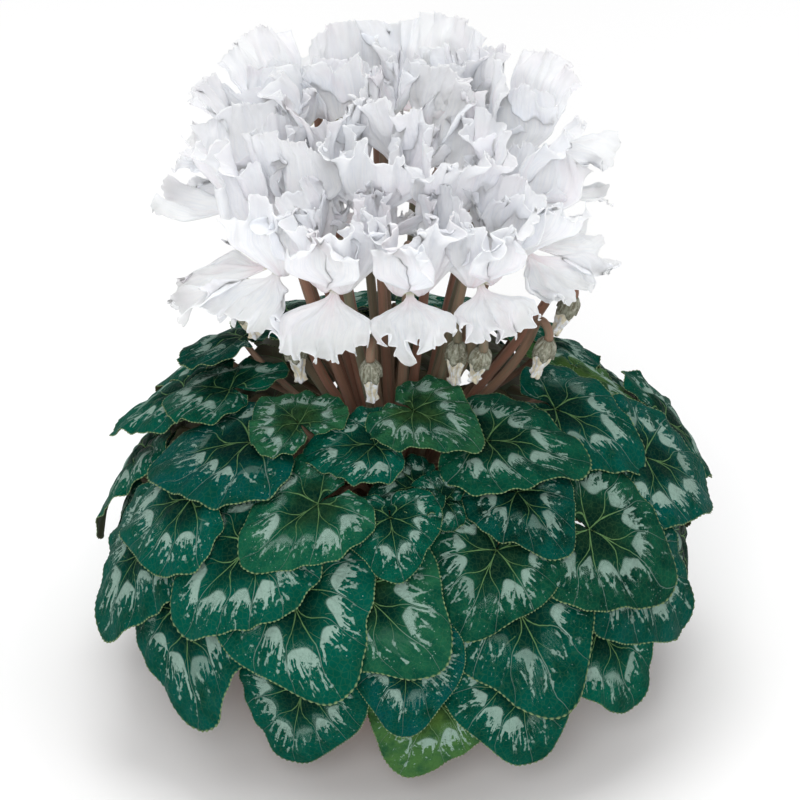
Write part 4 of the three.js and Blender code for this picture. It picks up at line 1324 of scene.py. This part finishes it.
def add_petal(gathered, axes, petal, limits, look):
    """Adds one petal: a sheet swept up, pressed back into its cell, then crumpled, frilled and fringed."""
    s, u, at_edge, inward_of, net = net_of("petal")
    free = petal_points(petal, s, u)
    kept = pressed(free.copy(), limits, petal["gap"])
    points = free + (kept - free) * smoothstep(s, 0, PRESSED["foot"])[:, None]
    far = smoothstep(np.linalg.norm(kept - free, axis=1), PRESSED["from"], PRESSED["to"])
    room = 1 - PRESSED["flatter"] * far

    key = petal["key"]
    draws = [3 * wobble(key, salt) for salt in range(11, 20)]
    x, y = u * PETAL["width"] / 2, s * PETAL["length"]
    swell = rough(x, y, CRUMPLE["swell"], draws[5])
    crease = 0.5 - np.abs(rough(x, y, CRUMPLE["crease"], draws[6]) * 2)
    bent = u + FRILL["wander"] * rough(x, y, CRUMPLE["wander"], draws[7])
    frills = s ** FRILL["onset"] * (FRILL["usual"] + FRILL["vary"] * swell)
    frills = frills * ripples(PETAL_FRILLS, bent, s, draws)
    folds = ripples(PETAL_FOLDS, bent, s, draws[3:]) + FOLD["swell"] * swell + FOLD["crease"] * crease
    folds = look.fold_height / MM * folds * smoothstep(s, FOLD["first"], FOLD["full"])
    height = (look.frill_height / MM * frills + folds) * room * petal["folds"]
    facing = normals_of(points, net[0])
    points = points + facing * height[:, None]

    inward = points[inward_of] - points
    spacing = np.linalg.norm(inward, axis=1)
    inward /= np.maximum(spacing, 1e-6)[:, None]
    rolled = LIP["usual"] + LIP["vary"] * rough(x, 0 * y, CRUMPLE["lip"], draws[8])
    lip = smoothstep(s, LIP["first"], 1) ** LIP["onset"] * np.clip(rolled, LIP["least"], LIP["most"]) * room
    points = points + (facing + LIP["inwards"] * inward) * lip[:, None] * petal["roll"] * look.lip_roll / MM
    notch = 1 - np.abs(np.sin(math.pi * at_edge / CRUMPLE["tooth"]))
    deep = [abs(wobble(key * 31 + i, 17)) for i in at_edge // CRUMPLE["tooth"]]
    notch *= FRINGE["least"] + FRINGE["vary"] * np.array(deep)
    notch += np.maximum(0, rough(x, 0 * y, CRUMPLE["lobe"], draws[6]))
    notch = np.minimum((s == 1) * notch * look.fringe_depth / MM, FRINGE["most"] * spacing)
    points = points + inward * notch[:, None]

    tone = (drawn(key, 18), drawn(key, 19), 0)
    thickness = PETAL["thickness"] * (1 - THINNER["petal"] * smoothstep(s, THINNER["petal_from"], 1))
    add_sheet(gathered, axes.out(points), net, thickness, columns(s, u, height), tone)


def build_flowers(look):
    """The flowers, one piece each: a cup with five petals swept up from its lip."""
    finish = petal_silk(look)
    places = flower_axes()
    lines = stalk_lines(np.linspace(0, 1, CLIMB["looks"] + 1))
    for number, _, _, droop, stands in FLOWERS:
        cell = cell_of(number, places, lines)
        gathered = Gathered()
        add_cup(gathered, places[number])
        for petal in petals_of(number, droop, stands):
            limits = cell
            if petal["parted"]:
                y = math.copysign(1, math.sin(math.radians(petal["angle"])))
                limits = cell + [(np.array([0, y * PEDUNCLE["radius"], 0]), np.array([0, -y, 0]))]
            add_petal(gathered, places[number], petal, limits, look)
        gathered.make(f"bloom_{number:02d}", [finish], "petal", f"flower_{number:02d}")


def add_blade(gathered, leaf, look):
    """Adds one leaf blade: quilted between its veins, waved and finely toothed at the edge."""
    number, length = leaf.number, leaf.length
    shares, sides, at_edge, _, net = net_of("blade")
    angles = -HEART["slit"] * sides
    points = blade_points(leaf, angles, shares)
    turn = np.radians(angles)
    reach = outline(angles) * shares
    x, y = reach * np.cos(turn), reach * np.sin(turn)
    draws = [3 * wobble(number, salt) for salt in range(61, 65)]
    stray = VEIN["stray"] * shares * rough(x * length, y * length, QUILT["stray"], draws[2])
    turns = (turn + VEIN["bend"] * shares * np.sin(turn) + stray) / math.radians(VEIN["spacing"])
    quilt = between_veins(turns, shares) ** QUILT["puff"] * smoothstep(shares, QUILT["first"], QUILT["full"])
    quilt = quilt * (1 - QUILT["flatter"] * shares)
    dimples = rough(x * length, y * length, QUILT["dimple"], draws[3])
    waves = shares**4 * ripples(LEAF_WAVES, turn, shares, draws)
    quilt = quilt + QUILT["dimples"] * dimples
    points[:, 2] += look.quilt_height / MM * quilt + look.wave_height / MM * waves
    notched = at_edge % 2 == 1
    deep = np.array([abs(wobble(number * 17 + i, 64)) for i in range(len(angles))])
    tooth = notched * (TOOTH["least"] + TOOTH["vary"] * deep)
    points[:, :2] *= (1 - tooth * look.tooth_depth / MM / length)[:, None]

    marks = columns(x, y, np.where(notched, TOOTH["painted"], shares))
    tone = columns(drawn(number, 65), TINTS.get(number, -0.25 - 0.25 * wobble(number, 66)), turns)
    thickness = BLADE["thickness"] * (1 - THINNER["blade"] * smoothstep(shares, THINNER["blade_from"], 1))
    add_sheet(gathered, settled(leaf).out(points), net, thickness, marks, tone, under=1)


def build_leaves(look):
    """The leaves, one piece for each leaf, or for each spray of leaves that lie on one another."""
    finishes = [marbled_leaf(look), leaf_back(look)]
    for node in dict.fromkeys(node_of(leaf) for leaf in LEAVES):
        gathered = Gathered()
        for leaf in LEAVES:
            if node_of(leaf) == node:
                add_blade(gathered, leaf, look)
        gathered.make(node.replace("leaf", "blade").replace("leaves", "blades"), finishes, "leaf", node)


def aimed(name, data, place, spot):
    """Adds a lamp or a camera that stands in a place and looks at a spot."""
    thing = bpy.data.objects.new(name, data)
    thing.location = place
    thing.rotation_euler = (Vector(spot) - thing.location).to_track_quat("-Z", "Y").to_euler()
    bpy.context.scene.collection.objects.link(thing)
    return thing


def build_stage(look):
    """The pale floor, the soft lights and the camera."""
    scene = bpy.context.scene
    mesh = bpy.data.meshes.new("floor")
    half, steps = FLOOR["half"], FLOOR["steps"]
    row = steps + 1
    ticks = np.linspace(-half, half, row)
    faces = [
        (j * row + i, j * row + i + 1, (j + 1) * row + i + 1, (j + 1) * row + i)
        for j in range(steps)
        for i in range(steps)
    ]
    mesh.from_pydata([(x, y, 0) for y in ticks for x in ticks], [], faces)
    mesh.materials.append(studio_floor(look))
    floor = bpy.data.objects.new("floor", mesh)
    scene.collection.objects.link(floor)
    floor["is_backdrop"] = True

    for name, place, size, watts in SOFT_LIGHTS:
        light = bpy.data.lights.new(name, "AREA")
        light.shape = "DISK"
        light.size = size
        light.energy = watts * look.lamps
        aimed(name, light, place, LAMPS_AIM)

    world = bpy.data.worlds.new("studio")
    world.use_nodes = True
    background = world.node_tree.nodes["Background"].inputs
    background["Color"].default_value = (1, 1, 1, 1)
    background["Strength"].default_value = look.surroundings
    scene.world = world
    scene.view_settings.view_transform = "Standard"

    lens = bpy.data.cameras.new("camera")
    lens.lens = CAMERA["lens"]
    lens.sensor_width = CAMERA["sensor"]
    tilt = math.radians(CAMERA["elevation"])
    back = Vector((0, -math.cos(tilt), math.sin(tilt))) * CAMERA["distance"]
    scene.camera = aimed("camera", lens, Vector(CAMERA["target"]) + back, CAMERA["target"])


# Settings, operators and panel


def size_of(label, note, default, most):
    return FloatProperty(
        name=label, description=note, default=default, min=0, max=most, unit="LENGTH", precision=4
    )


def share_of(label, note, default):
    return FloatProperty(name=label, description=note, default=default, min=0, max=1, subtype="FACTOR")


def strength_of(label, note, default):
    return FloatProperty(name=label, description=note, default=default, min=0, max=10)


def colour_of(label, note, *default):
    return FloatVectorProperty(
        name=label, description=note, default=default, size=3, min=0, max=1, subtype="COLOR"
    )


class CyclamenLook(bpy.types.PropertyGroup):
    """Sizes and colours that a user would change before building."""

    tooth_depth: size_of("Leaf teeth", "Depth of the fine teeth along a leaf's edge", 0.0011, 0.003)
    quilt_height: size_of("Leaf quilting", "How far a leaf puffs up between its veins", 0.0023, 0.004)
    wave_height: size_of("Leaf waves", "Height of the small waves at a leaf's edge", 0.0024, 0.004)
    frill_height: size_of("Petal frills", "Height of the frills towards a petal's edge", 0.0044, 0.008)
    fold_height: size_of("Petal folds", "Height of the soft folds that fan over a petal", 0.0016, 0.004)
    fringe_depth: size_of("Petal fringe", "Depth of the fringe along a petal's edge", 0.003, 0.004)
    lip_roll: size_of("Petal roll", "How far a petal's edge rolls outwards", 0.006, 0.01)

    leaf_green: colour_of("Leaf green", "Lighter green of the leaves", 0.0, 0.105, 0.06)
    # The leaf's own deep green, made darker as painted shade, most of all round the joint
    leaf_dark: colour_of("Leaf dark green", "Deep green around a leaf's joint", 0.0, 0.008, 0.006)
    leaf_blue: colour_of("Leaf blue-green", "Cool green that some leaves turn to", 0.0, 0.058, 0.054)
    leaf_yellow: colour_of("Yellowed leaf", "Yellow-green of the oldest leaves", 0.09, 0.175, 0.03)
    leaf_silver: colour_of("Leaf silver", "Colour of the broken silver ring", 0.26, 0.375, 0.32)
    silver_share: share_of("Silver strength", "How strongly the silver ring covers the green", 0.9)
    leaf_vein: colour_of("Leaf veins", "Pale green of the veins", 0.15, 0.29, 0.11)
    leaf_rim: colour_of("Leaf rim", "Pale colour of a leaf's toothed rim", 0.26, 0.34, 0.16)
    leaf_under: colour_of("Leaf underside", "Paler green under a leaf", 0.06, 0.11, 0.05)
    leaf_under_red: colour_of("Underside tinge", "Red-brown tinge under a leaf", 0.12, 0.07, 0.04)

    petal_white: colour_of("Petal white", "White of the petals", 0.90, 0.925, 0.965)
    petal_shade: colour_of("Petal veins", "Cool grey of a petal's fine veins", 0.79, 0.835, 0.91)
    # The petals' own pink blush, also used as painted shade deep in the flower
    petal_flush_and_shade: colour_of("Petal flush", "Pink flush deep in the flower", 0.80, 0.58, 0.63)
    petal_throat: colour_of("Petal throat", "Green-yellow where a petal leaves its cup", 0.56, 0.60, 0.33)

    stalk_brown: colour_of("Stalk brown", "Red-brown of the flower stalks", 0.29, 0.135, 0.09)
    stalk_olive: colour_of("Stalk olive", "Olive grey that stalks turn to", 0.14, 0.165, 0.105)
    stalk_dark: colour_of("Stalk dark", "Darkest brown of stalks and tuber", 0.07, 0.035, 0.025)
    stalk_bloom: colour_of("Stalk bloom", "Pale bloom on the skin of a stalk", 0.42, 0.25, 0.17)
    calyx_brown: colour_of("Calyx brown", "Darker brown of the caps of the buds", 0.14, 0.13, 0.085)
    calyx_grey: colour_of("Calyx grey", "Grey of the caps of the buds", 0.33, 0.34, 0.27)
    calyx_pale: colour_of("Calyx fibres", "Pale fibres on the caps of the buds", 0.60, 0.58, 0.50)
    faded_cream: colour_of("Faded cream", "Cream of the faded blooms", 0.80, 0.73, 0.56)
    faded_brown: colour_of("Faded tip", "Brown at the tips of faded blooms", 0.42, 0.30, 0.14)

    clay: colour_of("Clay", "Colour of the pot", 0.40, 0.135, 0.06)
    clay_dark: colour_of("Dark clay", "Darker patches of the pot", 0.29, 0.085, 0.04)
    clay_lime: colour_of("Lime bloom", "Pale bloom of lime on the pot", 0.55, 0.42, 0.33)
    soil_dark: colour_of("Dark soil", "Darkest soil", 0.012, 0.008, 0.005)
    soil_brown: colour_of("Brown soil", "Lighter soil", 0.05, 0.028, 0.015)
    soil_crumb: colour_of("Soil crumbs", "Pale crumbs in the soil", 0.20, 0.14, 0.09)

    floor: colour_of("Floor", "Colour of the studio floor", 0.99, 0.99, 0.99)
    lamps: strength_of("Lamps", "Strength of the soft lamps", 1.0)
    surroundings: strength_of("Surroundings", "Strength of the white surroundings", 0.65)


class CYCLAMEN_OT_pot(bpy.types.Operator):
    """Build the clay pot with its drain holes"""

    bl_idname = "cyclamen.pot"
    bl_label = "Pot"

    def execute(self, context):
        build_pot(context.scene.cyclamen)
        return {"FINISHED"}


class CYCLAMEN_OT_soil(bpy.types.Operator):
    """Build the potting soil"""

    bl_idname = "cyclamen.soil"
    bl_label = "Soil"

    def execute(self, context):
        build_soil(context.scene.cyclamen)
        return {"FINISHED"}


class CYCLAMEN_OT_stalks(bpy.types.Operator):
    """Build the tuber with its leaf stalks, flower stalks and calyxes"""

    bl_idname = "cyclamen.stalks"
    bl_label = "Tuber and stalks"

    def execute(self, context):
        build_stalks(context.scene.cyclamen)
        return {"FINISHED"}


class CYCLAMEN_OT_faded_blooms(bpy.types.Operator):
    """Build the seven buds and faded blooms"""

    bl_idname = "cyclamen.faded_blooms"
    bl_label = "Faded blooms"

    def execute(self, context):
        build_faded_blooms(context.scene.cyclamen)
        return {"FINISHED"}


class CYCLAMEN_OT_leaves(bpy.types.Operator):
    """Build the marbled leaves"""

    bl_idname = "cyclamen.leaves"
    bl_label = "Leaves"

    def execute(self, context):
        build_leaves(context.scene.cyclamen)
        return {"FINISHED"}


class CYCLAMEN_OT_flowers(bpy.types.Operator):
    """Build the eighteen fringed flowers"""

    bl_idname = "cyclamen.flowers"
    bl_label = "Flowers"

    def execute(self, context):
        build_flowers(context.scene.cyclamen)
        return {"FINISHED"}


class CYCLAMEN_OT_stage(bpy.types.Operator):
    """Build the floor, the lights and the camera"""

    bl_idname = "cyclamen.stage"
    bl_label = "Stage"

    def execute(self, context):
        build_stage(context.scene.cyclamen)
        return {"FINISHED"}


OPERATORS = (
    CYCLAMEN_OT_stage,
    CYCLAMEN_OT_pot,
    CYCLAMEN_OT_soil,
    CYCLAMEN_OT_stalks,
    CYCLAMEN_OT_faded_blooms,
    CYCLAMEN_OT_leaves,
    CYCLAMEN_OT_flowers,
)


class CYCLAMEN_PT_sidebar(bpy.types.Panel):
    """Settings and builders of the potted cyclamen"""

    bl_idname = "CYCLAMEN_PT_sidebar"
    bl_label = "Potted Cyclamen"
    bl_space_type = "VIEW_3D"
    bl_region_type = "UI"
    bl_category = "Cyclamen"

    def draw(self, context):
        look = context.scene.cyclamen
        for name in CyclamenLook.__annotations__:
            self.layout.prop(look, name)
        for operator in OPERATORS:
            self.layout.operator(operator.bl_idname)


CLASSES = (CyclamenLook, *OPERATORS, CYCLAMEN_PT_sidebar)


def register():
    for cls in CLASSES:
        bpy.utils.register_class(cls)
    bpy.types.Scene.cyclamen = PointerProperty(type=CyclamenLook)


def unregister():
    del bpy.types.Scene.cyclamen
    for cls in reversed(CLASSES):
        bpy.utils.unregister_class(cls)


def main():
    register()
    bpy.ops.cyclamen.stage()
    bpy.ops.cyclamen.pot()
    bpy.ops.cyclamen.soil()
    bpy.ops.cyclamen.stalks()
    bpy.ops.cyclamen.faded_blooms()
    bpy.ops.cyclamen.leaves()
    bpy.ops.cyclamen.flowers()
    boxes = {"cad": CAD_BOX, "visual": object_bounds()}
    {name: [list(corner) for corner in box] for name, box in boxes.items()}


if __name__ == "__main__":
    main()
